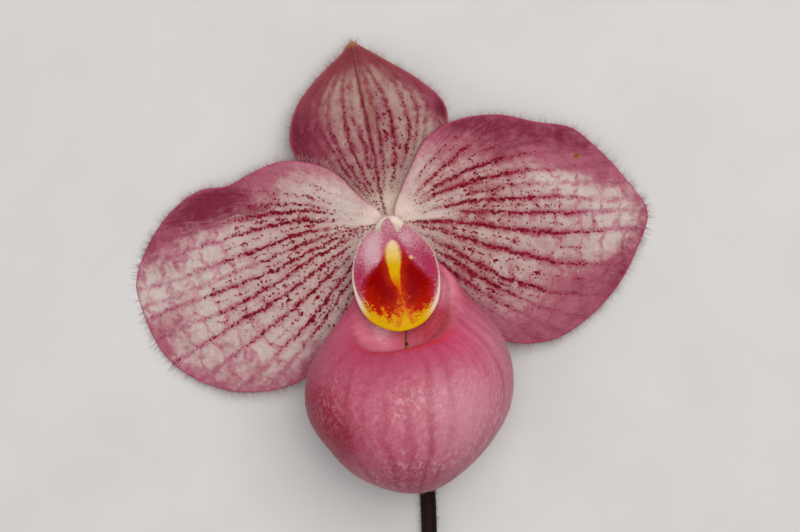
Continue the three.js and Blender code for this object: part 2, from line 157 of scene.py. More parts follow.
# ---------- tints laid on: x, y, half-length, half-width, turn in degrees, strength ------------------
RIGHT_BLUSH = [
    [23, 16, 19, 5.2, -8, 1], [10.5, 14, 5, 3.6, 45, 0.45], [36.5, 11.5, 8, 3.6, -45, 0.68],
    [44, 3, 2.2, 5, 0, 0.25], [40, -9.5, 3.6, 9, -35, 1], [26, -19, 17, 5.2, 8, 1.15],
    [13.5, -15, 8.5, 3.8, -48, 0.75], [34.5, -11.5, 8, 6.4, -20, 0.88], [28, 7.4, 4.5, 2.6, -10, -0.45],
    [32, -1, 13, 4.8, 0, -0.46], [14, 9.5, 8, 3.5, 38, 0.22], [24, 12.2, 10, 3, -4, 0.42],
    [31.5, 12.2, 6.5, 3.4, -38, 0.44],
]
# the first touch lies where the right petal's margin curls back: its deep pink there is also painted shade of
# the fold
RIGHT_DEEP = [
    [21, 16.8, 11, 3.6, -4, 0.98], [33.5, 14.8, 6, 2.6, -22, 0.62], [27, -19.6, 15, 3.2, 8, 0.46],
    [42.4, -6.5, 2.4, 8.5, -24, 0.6], [37, -10, 6, 5, -30, 0.34], [11.5, 16.8, 5, 1.6, 24, 0.5],
    [18, 12.6, 8, 1.8, 12, 0.4],
]
LEFT_BLUSH = [
    [-20, 8.6, 9, 3, 3, 0.42], [-31, 3.2, 12, 4.8, 20, 1], [-41, -4.5, 4.5, 7, 25, 0.6],
    [-26, -26.6, 19, 3.6, 4, 0.58], [-40, -19.5, 3.4, 8, -28, 0.7], [-12, -24, 7, 3.4, -55, 0.45],
    [-42.5, -13.6, 3, 3, 0, -0.55], [-35, -12, 7, 4.5, 15, -0.25], [-31, -21, 8, 3, 10, 0.18],
    [-24, 5.2, 6, 2.6, 30, 0.05],
]
# the first touch lies where the left petal's margin curls back: its deep pink there is also painted shade of
# the fold
LEFT_DEEP = [
    [-31.4, 3.4, 9.6, 3.3, 20, 1.3], [-37.8, -1, 5, 2.6, 42, 0.12], [-26, -29.2, 16, 1.3, 2, 0.3],
    [-43.6, -3, 1.6, 6, 28, 0.45], [-25, 1.6, 6, 1.6, 14, 0.5], [-22.6, 6.4, 4, 2.6, 20, -0.55],
]
TOP_BLUSH = [
    [-15.4, 14.5, 4.4, 8.5, -8, 1.05], [-13.6, 24.4, 8, 2.2, 46, 0.45], [9, 19, 2.6, 7, 10, 0.56],
    [2, 27.6, 7, 2.4, -40, 0.5], [-6, 29.6, 4, 3.4, 0, 0.55], [-11.5, 10, 5, 3, -40, 0.3],
    [-3, 19, 14, 11, 0, 0.36], [-5.6, 21, 1.5, 5, 8, -0.34], [1.2, 20.6, 1.6, 4.6, 0, -0.3],
    [5.4, 17, 1.4, 3.6, 0, -0.26], [-10.6, 21, 1.3, 3, 10, -0.2], [5.8, 15.6, 3, 3, 0, -0.3],
]
TOP_DEEP = [
    [-16.2, 15, 3.4, 6, -14, 0.85], [9.3, 20.8, 1.3, 2.4, 0, 0.95], [-11.8, 26.8, 6, 1, 46, 0.18],
    [2.5, 28, 6.5, 0.8, -40, 0.15], [-13.4, 9, 4.5, 1.8, -40, 0.45],
]
LOWER_BLUSH = [[2, -22, 14, 16, 0, 0.35], [2.6, -36, 6, 5, 0, 0.5]]
LOWER_DEEP = [[2.6, -37, 4, 3, 0, 0.3]]

# ---------- the pouch ----------
# Rings from the toe to the mouth and over the rim: front y and z, back x, y and z, left and right x, how far
# the left and the right side drop, how far the ring rises to the right, and how square its front is.
POUCH_RINGS = [
    [-45.9, 18, 4.6, -45.9, 18, 4.6, 4.6, 0, 0, 0, 2],
    [-46.8, 23, 4.4, -43.6, 12.8, -0.1, 8.9, 0, 0, 0.2, 2],
    [-45.2, 29.2, 3.4, -39.4, 10.6, -6.3, 13.2, 0, 0, 0.4, 2],
    [-41.6, 34.5, 3.3, -34.4, 10.3, -10.3, 17.4, 0, 0, 0.7, 2],
    [-36.6, 37.6, 3.2, -29.4, 11.4, -13.5, 20.3, 0, 0, 1, 2],
    [-31.6, 38.4, 3.1, -24.4, 12.9, -14.2, 20.9, 0, 0, 1.2, 2.1],
    [-27.6, 37.2, 2.8, -19.3, 14.2, -12.9, 19.9, 1, 0, 1.4, 2.3],
    [-24.6, 34.6, 2.2, -14.4, 14.7, -10.4, 17.2, 1.5, -1, 1.6, 2.6],
    [-22.8, 31.6, 1.4, -9.8, 14.6, -7.6, 13.2, 2, -2, 1.8, 2.8],
    [-22.4, 29.2, 0.8, -6.4, 14.6, -5.8, 11.2, 2.6, -1.1, 2, 3],
    [-23, 27.2, 0.6, -5.2, 14.7, -2.6, 9.2, 3.6, 0.5, 1.4, 2.8],
    [-23.8, 26, 2.4, -5, 14.9, 2.7, 2.74, 4.8, 4.8, 0, 2.4],
]
POUCH_VEINS = 30
POUCH_GRAIN_RADIUS = 15.0
POUCH_GRAIN_LENGTH = 30.0
# painted light: the pouch's outside is painted paler on its lit right side and on its shoulders
POUCH_PAINTED_LIGHT = [
    [12, -31, 8.4, 6, 0, 0.85], [15, -18.5, 8, 3.6, -40, 0.95], [12, -38, 6, 5, 30, 0.4],
    [-8.5, -19.5, 5, 3, 40, 0.3],
]
# painted shade: the pouch's lower left and bottom, dim in this light, are painted darker
POUCH_PAINTED_SHADE = [
    [-13.4, -33.6, 5.6, 8.4, 12, 1.3], [-9, -39, 5, 5, -35, 0.85], [4, -44.5, 10, 3.2, 0, 0.6],
]
# painted light: the inside of the mouth and its right crease, painted paler against the shade of the hollow
INSIDE_PAINTED_LIGHT = [
    [-1.5, -19, 1.8, 3.6, 14, 1], [-5.5, -19, 4, 4, 0, 0.35], [10.6, -12.4, 2.2, 3.4, -20, 1],
]
# painted shade: the steep right flank inside the mouth is painted redder and darker
INSIDE_PAINTED_RED_SHADE = [[7, -18.8, 3.6, 3.2, -20, 1.3], [9.8, -17.2, 2.2, 3, -20, 0.9]]

# ---------- the shield's marks ----------
# painted highlights on the staminode's two upper lobes, which pale their magenta
SHIELD_PAINTED_HIGHLIGHT = [
    [-3.1, -4.8, 1.15, 2.3, -16, 1], [-1.9, -6.6, 0.8, 1.5, -10, 0.5], [2.6, -3.2, 1.5, 1.3, -35, 0.45],
    [-5.6, -7, 0.7, 1.4, 0, 0.2],
]
SHIELD_MAGENTA = [
    [0.1, -2.6, 1.3, 1.7, 0, 0.25], [7, -8.2, 1.6, 3, 10, 1], [-5.2, -9.6, 1.3, 3.6, 0, 0.85],
    [-0.9, -5.2, 0.6, 2.2, 0, 0.35], [1.7, -4.6, 0.8, 1.8, 20, 0.9], [4.2, -5.6, 2.4, 2.4, 0, 0.45],
]
WEDGE_Y = [
    -19.5, -18.2, -17.2, -16.4, -15.4, -14, -12.6, -11.7, -11, -10.3, -9.8, -9.3, -8.3, -7.7, -7.2, -6.7,
    -6.2, -5.7, -5.1, -4.6, -4.2, -3.8, -3.5, -3.2, 0,
]
WEDGE_X = [
    3, 2.9, 2.8, 2.7, 2.6, 2.3, 1.93, 1.68, 1.3, 1.05, 0.95, 0.88, 0.78, 0.72, 0.68, 0.62, 0.58, 0.54, 0.5,
    0.48, 0.48, 0.48, 0.48, 0.48, 0.2,
]
WEDGE_WIDTH = [
    2, 1.1, 0.7, 0.42, 0.26, 0.18, 0.14, 0.3, 0.7, 0.9, 0.98, 1.02, 1.12, 1.26, 1.34, 1.38, 1.38, 1.34,
    1.26, 1.16, 1.02, 0.78, 0.42, -0.3, -3,
]
FLANK_TOP_X = [-6.5, -4.2, -3.4, -1.8, -0.9, 0.5, 1.6, 2.6, 3.6, 5.5, 7.9, 9.0]
FLANK_TOP_Y = [-11.5, -9.6, -8.5, -6.9, -5.4, -4.2, -4.2, -5.0, -6.3, -7.9, -10.2, -11.4]
FLANK_INSET_Y = [-19.0, -16.5, -14.0, -11.0, -8.0, -5.0]
FLANK_INSET = [1.35, 1.15, 0.9, 0.75, 1.1, 1.6]

# ---------- single marks, in mm on the table ----------
SPECK_AT = (33.0, 70.8, 0.0)
LEMON_DOT_AT = (3.37, 52.62, 24.4)
SEAM_TOP = (2.06, 39.7)  # where the brown seam inside the pouch comes out under the shield
SEAM_LEAN = 0.235
SEAM_FADES_IN = (36.2, 36.9)
SEAM_GROOVE_X = 2.42
SEAM_SPOTS = ((2.66, 37.5, 0.42), (2.28, 39.9, 0.30))  # x, y, radius

# ---------- fixed colours of small marks ----------
# painted highlight: the colour of the glints inside the mouth
POUCH_PAINTED_GLINT = (0.95, 0.80, 0.82, 1.0)
# painted light: bright orange red laid in the seam's groove against its shade
SEAM_GROOVE_PAINTED_LIGHT = (1.0, 0.34, 0.24, 1.0)
SEAM_SPOT = (0.08, 0.006, 0.006, 1.0)
STEM_DARK = (0.022, 0.006, 0.003, 1.0)
PITH_PALE = (0.50, 0.52, 0.30, 1.0)
PITH_GREEN = (0.20, 0.24, 0.09, 1.0)
PITH_BUNDLE = (0.60, 0.58, 0.42, 1.0)
OVARY_TOP = (0.45, 0.33, 0.22, 1.0)
BRACT_VEIN = (0.10, 0.13, 0.03, 1.0)
BRACT_BROWN = (0.14, 0.06, 0.035, 1.0)
COLUMN_FOOT = (0.70, 0.66, 0.42, 1.0)
STIGMA_GREEN = (0.66, 0.70, 0.46, 1.0)
STIGMA_BROWN = (0.55, 0.48, 0.28, 1.0)
# painted shade between the stigma's papillae
STIGMA_PAINTED_SHADE = (0.40, 0.36, 0.18, 1.0)
POLLEN_SHADE = (0.48, 0.22, 0.03, 1.0)

# ---------- middle lines and sizes of the stalks ----------
STEM_PATH = [
    [9.6, -150, 1.6], [8.4, -110, 1.5], [7.3, -75, 1.42], [7, -54, 1.6], [6.5, -44, 2.1], [6, -38.6, 2.6],
]
OVARY_PATH = [
    [6, -38.15, 2.65], [4.6, -29, 2.8], [2.8, -18, 3], [1.4, -10, 3.9], [0.5, -4, 6.6], [0.1, -1.63, 9.5],
    [0.1, -1.6, 10.5],
]
COLUMN_PATH = [[0.1, -1.6, 10.85], [0.1, -1.65, 15], [0.4, -3, 18.4], [0.9, -6.6, 21.3]]
STEM_RADIUS_AT_CUT = 1.6
STEM_RADIUS = 1.42
COLUMN_RADIUS_AT_FOOT = 1.85
COLUMN_RADIUS_AT_TOP = 1.55
BRACT_LENGTH = 15.0
BRACT_START = 0.02  # as a share of the ovary
HAIR_SINK = 0.04
HAIR_SEED = 17


# ---------- sums ----------
def paint(code):
    """A colour as a painter's six-digit code, made into the linear numbers that a material takes."""
    parts = [int(code[i:i + 2], 16) / 255 for i in (0, 2, 4)]
    return tuple(p / 12.92 if p <= 0.04045 else ((p + 0.055) / 1.055) ** 2.4 for p in parts) + (1.0,)


def bump(value, centre, half_width):
    """1 at the centre, and softly down to 0 on both sides."""
    return np.exp(-(((value - centre) / half_width) ** 2))


def rise(value, start, end):
    """0 before start, 1 after end, and smooth between."""
    share = np.clip((value - start) / (end - start), 0, 1)
    return share * share * (3 - 2 * share)


def knot_gap(start, end):
    return np.maximum(np.linalg.norm(end - start, axis=-1, keepdims=True), 1e-9) ** 0.5


def curve_point(points, t, closed=False, even=False):
    """Points of a smooth curve through the given ones at t, from 0 to 1. even takes them as evenly spaced."""
    points = np.asarray(points, float)
    count = len(points)
    place = np.asarray(t, float) * (count if closed else count - 1)
    index = np.floor(place).astype(int)
    if not closed:
        index = np.clip(index, 0, count - 2)
    weight = (place - index)[..., None]

    def at(i):
        return points[i % count]

    before, start, end, after = at(index - 1), at(index), at(index + 1), at(index + 2)
    if not closed:
        before = np.where((index == 0)[..., None], 2 * points[0] - points[1], before)
        after = np.where((index == count - 2)[..., None], 2 * points[-1] - points[-2], after)
    if even:
        leave, arrive = (end - before) / 2, (after - start) / 2
    else:
        first, middle, last = knot_gap(before, start), knot_gap(start, end), knot_gap(end, after)
        leave = (start - before) / first - (end - before) / (first + middle) + (end - start) / middle
        arrive = (end - start) / middle - (after - start) / (middle + last) + (after - end) / last
        leave, arrive = leave * middle, arrive * middle
    square, cube = weight ** 2, weight ** 3
    bend = (-3 * start + 3 * end - 2 * leave - arrive) * square
    return start + leave * weight + bend + (2 * start - 2 * end + leave + arrive) * cube


def curve_tangent(points, t):
    """The way along the curve at t."""
    step = 1e-4
    ahead = curve_point(points, np.clip(t + step, 0, 1)) - curve_point(points, np.clip(t - step, 0, 1))
    return ahead / np.linalg.norm(ahead, axis=-1, keepdims=True)


def rows_of(*columns):
    """One row for each vertex, from a column for each of its numbers."""
    return np.stack(columns, axis=1)


def unit(vectors):
    return vectors / np.maximum(np.linalg.norm(vectors, axis=-1, keepdims=True), 1e-12)


def ripple(x, y, seed, wavelength):
    """An irregular wavy number about 0 for each place, the same on each run."""
    dice = np.random.default_rng(seed)
    total = np.zeros_like(x)
    for _ in range(6):
        turn, shift = dice.uniform(0, FULL_TURN, 2)
        stretch = FULL_TURN / (wavelength * dice.uniform(0.7, 1.5))
        total += np.sin((x * math.cos(turn) + y * math.sin(turn)) * stretch + shift)
    return total / 3.5


def laid_on(touches, x, y):
    """The sum of soft-edged oval touches at each place."""
    total = np.zeros_like(x)
    for at_x, at_y, half_long, half_wide, turn, strength in touches:
        cos, sin = math.cos(math.radians(turn)), math.sin(math.radians(turn))
        along = ((x - at_x) * cos + (y - at_y) * sin) / half_long
        across = ((y - at_y) * cos - (x - at_x) * sin) / half_wide
        total += strength * np.exp(-(along ** 2 + across ** 2))
    return total


# ---------- middle surfaces of the flat organs: the height at x, y ----------
def petal_height(waves, from_angle, seed):
    """A petal's surface: it falls back, waves more and more outwards and is a little crinkled."""
    def height(x, y):
        out = np.hypot(x, y)
        angle = np.degrees(np.arctan2(y, x))
        angle = np.where(angle < from_angle, angle + 360, angle)
        droop = PETAL_DROOP * (out / PETAL_REACH) ** PETAL_DROOP_POWER
        wave = sum(size * bump(angle, at, width) for at, width, size in waves)
        fine = 0.10 * ripple(x, y, seed, 4.6) * rise(out, 22, 40)
        broad = 0.16 * ripple(x, y, seed + 1, 12) * rise(out, 6, 25)
        return PETAL_SEAT_Z - droop + wave * (out / WAVE_REACH) ** 2 + (fine + broad)
    return height


TOP_SEPAL_AXIS = unit(np.array([-0.21, 0.978]))
LOWER_SEPAL_AXIS = unit(np.array([0.068, -0.998]))


def top_sepal_height(x, y):
    """The top sepal's surface: keeled along its middle, ribbed, and raised towards its end."""
    out = np.hypot(x, y)
    across = x * TOP_SEPAL_AXIS[1] - y * TOP_SEPAL_AXIS[0]
    keel = 0.5 * bump(across, 0, 2) * np.minimum(out / 10, 1)
    ribs = 0.10 * ripple(x, y, 31, 6) * rise(out, 8, 20)
    return SEPAL_SEAT_Z - 0.2 * out - keel + ribs + 0.006 * np.maximum(0, out - 14) ** 2


def lower_sepal_height(x, y):
    """The lower sepal's surface: it falls away under the pouch."""
    out = np.maximum(0, np.hypot(x, y) - SEPAL_SEAT_RADIUS)
    return SEPAL_SEAT_Z - 4.3 * (1 - np.exp(-out / 8)) + 0.10 * ripple(x, y, 41, 6) * rise(out, 8, 16)


def staminode_height(x, y):
    """The shield's surface: arched, with a groove down its middle between two swellings."""
    down = np.clip((0.7 - y) / 19.5, 0, 1)
    across = x + 0.11 * y
    groove = 0.45 * bump(across, 0, 1.3) * bump(y, -7, 5)
    swell = 0.35 * (bump(x, -2.2, 2.6) + bump(x, 5.0, 2.6)) * bump(y, -9.5, 4.5)
    return STAMINODE_TOP_Z + 7 * (1 - (1 - down) ** 2) - 0.034 * across ** 2 - groove + swell * 0.6


LEFT_FROM = 0  # the bearing that a petal's own bearings are counted up from, in degrees
RIGHT_FROM = -180
left_petal_height = petal_height(LEFT_WAVES, LEFT_FROM, 11)
right_petal_height = petal_height(RIGHT_WAVES, RIGHT_FROM, 21)

# ---------- edges of the flat organs ----------
BLADE_EDGE = 0.34
SHIELD_EDGE = 0.5
FAR_FROM_MARGIN = 99.0
HANDFUL = 60
FRILL_WAVE = 3.4
PETAL_FRILL = (0.16, 7)  # height, seed
TOP_SEPAL_FRILL = (0.08, 8)
LOWER_SEPAL_FRILL = (0.06, 9)


# ---------- meshes ----------
CAP_RINGS = (0.93, 0.8, 0.5, 0.2)  # rings of a tube's closed end, as shares of its radius


def made_mesh(name, shape):
    """Turns a finished bmesh into a new mesh."""
    mesh = bpy.data.meshes.new(name)
    shape.to_mesh(mesh)
    shape.free()
    return mesh


def spots_of(mesh):
    """The places of a mesh's vertices, one row each."""
    spots = np.empty(len(mesh.vertices) * 3)
    mesh.vertices.foreach_get("co", spots)
    return spots.reshape(-1, 3)


def turn_of(spots):
    """How far round Z each spot lies, from 0 to 1."""
    return np.arctan2(spots[:, 1], spots[:, 0]) / FULL_TURN % 1.0


def sphere_mesh(name, around, rings):
    """A new mesh of a unit sphere, with each vertex's turn round it and its polar share, both from 0 to 1."""
    shape = bmesh.new()
    bmesh.ops.create_grid(shape, x_segments=around, y_segments=rings, size=0.5)
    for point in shape.verts:
        round_it, down_it = FULL_TURN * (point.co.x + 0.5), math.pi * (0.5 - point.co.y)
        width = math.sin(down_it)
        point.co = (width * math.cos(round_it), width * math.sin(round_it), math.cos(down_it))
    bmesh.ops.remove_doubles(shape, verts=shape.verts, dist=1e-6)
    bmesh.ops.recalc_face_normals(shape, faces=shape.faces)
    mesh = made_mesh(name, shape)
    spots = spots_of(mesh)
    return mesh, turn_of(spots), np.arccos(np.clip(spots[:, 2], -1, 1)) / math.pi


def tube_mesh(name, around, steps):
    """A new mesh of a closed tube from z 0 to 1, with each vertex's turn, share and radius."""
    shape = bmesh.new()
    bmesh.ops.create_circle(shape, cap_ends=False, segments=around, radius=1.0)
    ring = list(shape.edges)
    for _ in range(steps):
        grown = bmesh.ops.extrude_edge_only(shape, edges=ring)["geom"]
        ring = [g for g in grown if isinstance(g, bmesh.types.BMEdge)]
        points = [g for g in grown if isinstance(g, bmesh.types.BMVert)]
        bmesh.ops.translate(shape, vec=(0, 0, 1 / steps), verts=points)
    for end in (0.0, 1.0):
        rim = [e for e in shape.edges if all(abs(v.co.z - end) < 1e-4 for v in e.verts)]
        for size in CAP_RINGS:
            grown = bmesh.ops.extrude_edge_only(shape, edges=rim)["geom"]
            rim = [g for g in grown if isinstance(g, bmesh.types.BMEdge)]
            for point in [g for g in grown if isinstance(g, bmesh.types.BMVert)]:
                flat = math.hypot(point.co.x, point.co.y)
                point.co.x *= size / flat
                point.co.y *= size / flat
        bmesh.ops.contextual_create(shape, geom=rim)
    bmesh.ops.recalc_face_normals(shape, faces=shape.faces)
    mesh = made_mesh(name, shape)
    spots = spots_of(mesh)
    return mesh, turn_of(spots), spots[:, 2], np.hypot(spots[:, 0], spots[:, 1])


def put_down(mesh, points):
    """Sets a mesh's vertices to points given in mm from the flower's centre, at its place on the table."""
    placed = (points + FLOWER_AT) * MM
    placed[:, 2] = np.maximum(placed[:, 2], CLEAR_OF_TABLE * MM)
    mesh.vertices.foreach_set("co", placed.astype(np.float32).ravel())
    mesh.update()


def note(mesh, name, values):
    """Writes a number or a triple of numbers for each vertex, for the mesh's material to read."""
    values = np.asarray(values, np.float32)
    kind, field = ("FLOAT", "value") if values.ndim == 1 else ("FLOAT_VECTOR", "vector")
    mesh.attributes.new(name, kind, "POINT").data.foreach_set(field, values.ravel())


def keep(mesh, node, slot, material, lay_nodes, *arguments):
    """Puts a finished mesh into the scene, to stand for a node of the frame or as an extra piece.

    The material's name is followed by the function that lays its nodes, and what that function takes.
    """
    for polygon in mesh.polygons:
        polygon.use_smooth = True
    piece = bpy.data.objects.new(mesh.name, mesh)
    bpy.context.scene.collection.objects.link(piece)
    mesh.materials.append(material_once(material, lay_nodes, *arguments))
    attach(piece, "root")
    if node:
        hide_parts(node)


# ---------- node helpers ----------
def sums(operation, turned_about=False):
    """A function that joins fields and numbers in one Math node. Its first argument is a field."""
    def joined(field, *others):
        values = (*others, field) if turned_about else (field, *others)
        return made(field.tree, "ShaderNodeMath", 0, dict(enumerate(values)), operation=operation)
    return joined


class Field:
    """A number, colour or vector that changes over the surface: a node's output that takes plain sums."""

    def __init__(self, tree, socket):
        self.tree = tree
        self.socket = socket

    __add__ = sums("ADD")
    __sub__ = sums("SUBTRACT")
    __rsub__ = sums("SUBTRACT", turned_about=True)
    __mul__ = sums("MULTIPLY")
    __truediv__ = sums("DIVIDE")
    __mod__ = sums("FLOORED_MODULO")
    __pow__ = sums("POWER")
    __abs__ = sums("ABSOLUTE")


larger = sums("MAXIMUM")
floored = sums("FLOOR")
fraction = sums("FRACT")
cosine = sums("COSINE")
sine = sums("SINE")
angle_of = sums("ARCTAN2")


def plug(socket, value):
    """Feeds a socket with a field, or sets it to a fixed number, colour or vector."""
    if isinstance(value, Field):
        value.tree.links.new(value.socket, socket)
    else:
        socket.default_value = value


def made(tree, kind, output, sockets=None, **settings):
    """The named or numbered output of a new node with its settings and its fed sockets."""
    node = tree.nodes.new(kind)
    for name, value in settings.items():
        setattr(node, name, value)
    for name, value in (sockets or {}).items():
        plug(node.inputs[name], value)
    return Field(tree, node.outputs[output])


def ramp(value, start, end, low=0.0, high=1.0):
    """low where value is at start, high where it is at end, and smooth between them."""
    sockets = {"Value": value, "From Min": start, "From Max": end, "To Min": low, "To Max": high}
    return made(value.tree, "ShaderNodeMapRange", 0, sockets, interpolation_type="SMOOTHSTEP")


def blend(share, first, second):
    """The first colour where share is 0 and the second where it is 1."""
    return made(share.tree, "ShaderNodeMix", 2, {0: share, 6: first, 7: second}, data_type="RGBA")


def painted(colour, *layers):
    """A colour with layers laid over it, each a share and the layer's own colour."""
    for share, paint_over in layers:
        colour = blend(share, colour, paint_over)
    return colour


def noise(vector, scale, detail=2.0, rough=0.5):
    sockets = {"Vector": vector, "Scale": scale, "Detail": detail, "Roughness": rough}
    return made(vector.tree, "ShaderNodeTexNoise", "Fac", sockets)


def cells(vector, scale):
    """How far the nearest of a crowd of scattered points is."""
    return made(vector.tree, "ShaderNodeTexVoronoi", "Distance", {"Vector": vector, "Scale": scale})


def luck_of(cell):
    """The random number of each cell that cells() found."""
    return parted(Field(cell.tree, cell.socket.node.outputs["Color"]))[0]


def luck(number):
    """A random number for each whole number."""
    return made(number.tree, "ShaderNodeTexWhiteNoise", "Value", {"W": number}, noise_dimensions="1D")


def triple(x, y, z):
    return made(x.tree, "ShaderNodeCombineXYZ", 0, {"X": x, "Y": y, "Z": z})


def parted(vector):
    x = made(vector.tree, "ShaderNodeSeparateXYZ", 0, {"Vector": vector})
    return [Field(vector.tree, output) for output in x.socket.node.outputs]


def scaled(vector, size):
    return made(vector.tree, "ShaderNodeVectorMath", 0, {0: vector, "Scale": size}, operation="SCALE")


def away_from(vector, point):
    return made(vector.tree, "ShaderNodeVectorMath", "Value", {0: vector, 1: point}, operation="DISTANCE")


def read(tree, name):
    """The number or triple noted on the mesh under that name."""
    return made(tree, "ShaderNodeAttribute", "Vector", attribute_name=name, attribute_type="GEOMETRY")


def in_mm(tree):
    """The place on the piece in millimetres."""
    return scaled(made(tree, "ShaderNodeTexCoord", "Object"), 1000.0)


def turned_round(tree):
    """How far round its piece a place is, in radians, and its share of the way along the piece."""
    cos, sin, share = parted(read(tree, "around"))
    return angle_of(sin, cos), share


def new_group(name, inputs, outputs):
    """A node group. Gives its inputs as fields and its outputs as sockets to plug, both by name."""
    tree = bpy.data.node_groups.new(name, "ShaderNodeTree")
    for direction, sockets in (("INPUT", inputs), ("OUTPUT", outputs)):
        for kind, labels in sockets.items():
            for label in labels:
                tree.interface.new_socket(label, in_out=direction, socket_type="NodeSocket" + kind)
    given = {socket.name: Field(tree, socket) for socket in tree.nodes.new("NodeGroupInput").outputs}
    return given, tree.nodes.new("NodeGroupOutput").inputs


def grouped(tree, name, sockets):
    """The outputs by name of the group of that name, placed in a material."""
    group = tree.nodes.new("ShaderNodeGroup")
    group.node_tree = bpy.data.node_groups[name]
    for label, value in sockets.items():
        plug(group.inputs[label], value)
    return {socket.name: Field(tree, socket) for socket in group.outputs}


def finish_material(tree, colour, rough, height, depth, shine=0.5, scatter=None, others=()):
    """Ends a material in one Principled shader with a bump.

    The bump's depth is in mm. scatter is the subsurface weight, radius and scale, the scale in mm.
    """
    shader = tree.nodes.new("ShaderNodeBsdfPrincipled")
    bumped = made(tree, "ShaderNodeBump", 0, {"Height": height, "Distance": depth * MM})
    sockets = {"Base Color": colour, "Roughness": rough, "Normal": bumped, "Specular IOR Level": shine}
    if scatter:
        weight, radius, scale = scatter
        sockets.update({
            "Subsurface Weight": weight, "Subsurface Radius": radius, "Subsurface Scale": scale * MM})
    sockets.update(others)
    for label, value in sockets.items():
        plug(shader.inputs[label], value)
    output = tree.nodes.new("ShaderNodeOutputMaterial")
    tree.links.new(shader.outputs[0], output.inputs["Surface"])


def material_once(name, lay_nodes, *arguments):
    """The material of that name. The first time it is asked for, lay_nodes() fills its node tree."""
    material = bpy.data.materials.get(name)
    if material is None:
        material = bpy.data.materials.new(name)
        material.use_nodes = True
        material.node_tree.nodes.clear()
        lay_nodes(material.node_tree, *arguments)
    return material


# ---------- groups shared by the flat organs ----------
MARKS = ["Spots", "Glow", "Net", "Haze", "Closeness"]
PAINTS = [
    "Cream", "Blush colour", "Deep colour", "Spot colour", "Glow colour", "Net colour", "Haze colour",
    "Edge colour",
]


def build_vein_group():
    """Marks along the veins: crimson beads near the middle of the flower, a soft pink net further out."""
    given, result = new_group(
        "Vein marks",
        {"Vector": ["Place"], "Float": ["Vein", "Reach", "Spacing", "Spotting", "Net", "Haze", "Rungs"]},
        {"Float": MARKS},
    )
    place, spacing, spotting = given["Place"], given["Spacing"], given["Spotting"]
    wander = (noise(place, 0.42, 2.0) - 0.5) * 1.3
    jitter = (noise(place, 1.5, 1.0) - 0.5) * 0.7
    vein = given["Vein"] + (wander + jitter) / larger(spacing, 0.6)
    off = abs(fraction(vein + 0.5) - 0.5) * spacing
    near = ramp(off, 0.60, 0.08)
    between = ramp(abs(fraction(vein) - 0.5) * spacing, 0.50, 0.05)
    patchy = ramp(noise(place, 0.30, 1.0), 0.36, 0.54)
    side_row = between * patchy * ramp(spacing, 1.2, 2.2)
    # rungs that join neighbouring veins, lumpy like the veins' own soft sides
    lumpy = (noise(place, 0.95, 2.0) - 0.5) * 1.2
    rung = given["Reach"] + luck(floored(vein)) * 2.4 + noise(place, 0.40, 1.5) * 5.5
    rung = ramp(abs(fraction(rung / 4.0) - 0.5) * 4.0 + lumpy, 0.86, 0.05)
    # beads, small dots and the thin line that strings them together
    bead, dot = cells(place, 1.95), cells(place, 3.3)
    crowd = (near + side_row * 0.66 + rung * patchy * 0.45) * spotting
    crowd = larger(crowd, spotting * ramp(luck_of(bead), 0.78, 0.88) * 0.42)
    ragged = (noise(place, 4.0, 1.0) - 0.5) * 0.55
    bead = bead + ragged - crowd * ramp(luck_of(bead), 0.02, 0.45, 0.45, 1.0) * 0.83
    dot = dot + ragged - crowd * ramp(luck_of(dot), 0.25, 0.70) * 0.52
    glow = ramp(bead, 0.42, -0.08) * ramp(crowd, 0.10, 0.40)
    string = ramp(off + ragged * 0.5, 0.24, 0.03)
    string = string * ramp(noise(place, 0.8, 2.0), 0.42, 0.60)
    string = string * ramp(spotting, 0.35, 0.85, 0.0, 0.62)
    spots = larger(ramp(bead, 0.10, -0.12), ramp(dot, 0.10, -0.12)) * ramp(crowd, 0.06, 0.22)
    # the net of soft veins and rungs, and the haze between the rows of spots
    broken = ramp(noise(place, 0.45, 3.0, 0.6), 0.32, 0.62, 0.35, 1.0)
    net = larger(ramp(off + lumpy, 0.92, 0.0), rung * 0.92 * given["Rungs"])
    haze = (ramp(off, 1.3, 0.1) * 0.46 + 0.42) * ramp(spotting, 0.12, 0.85) * given["Haze"]
    plug(result["Spots"], larger(spots, string))
    plug(result["Glow"], larger(glow, string))
    plug(result["Net"], net * given["Net"] * broken)
    plug(result["Haze"], haze * ramp(broken, 0.35, 1.0, 0.55, 1.0))
    plug(result["Closeness"], near)


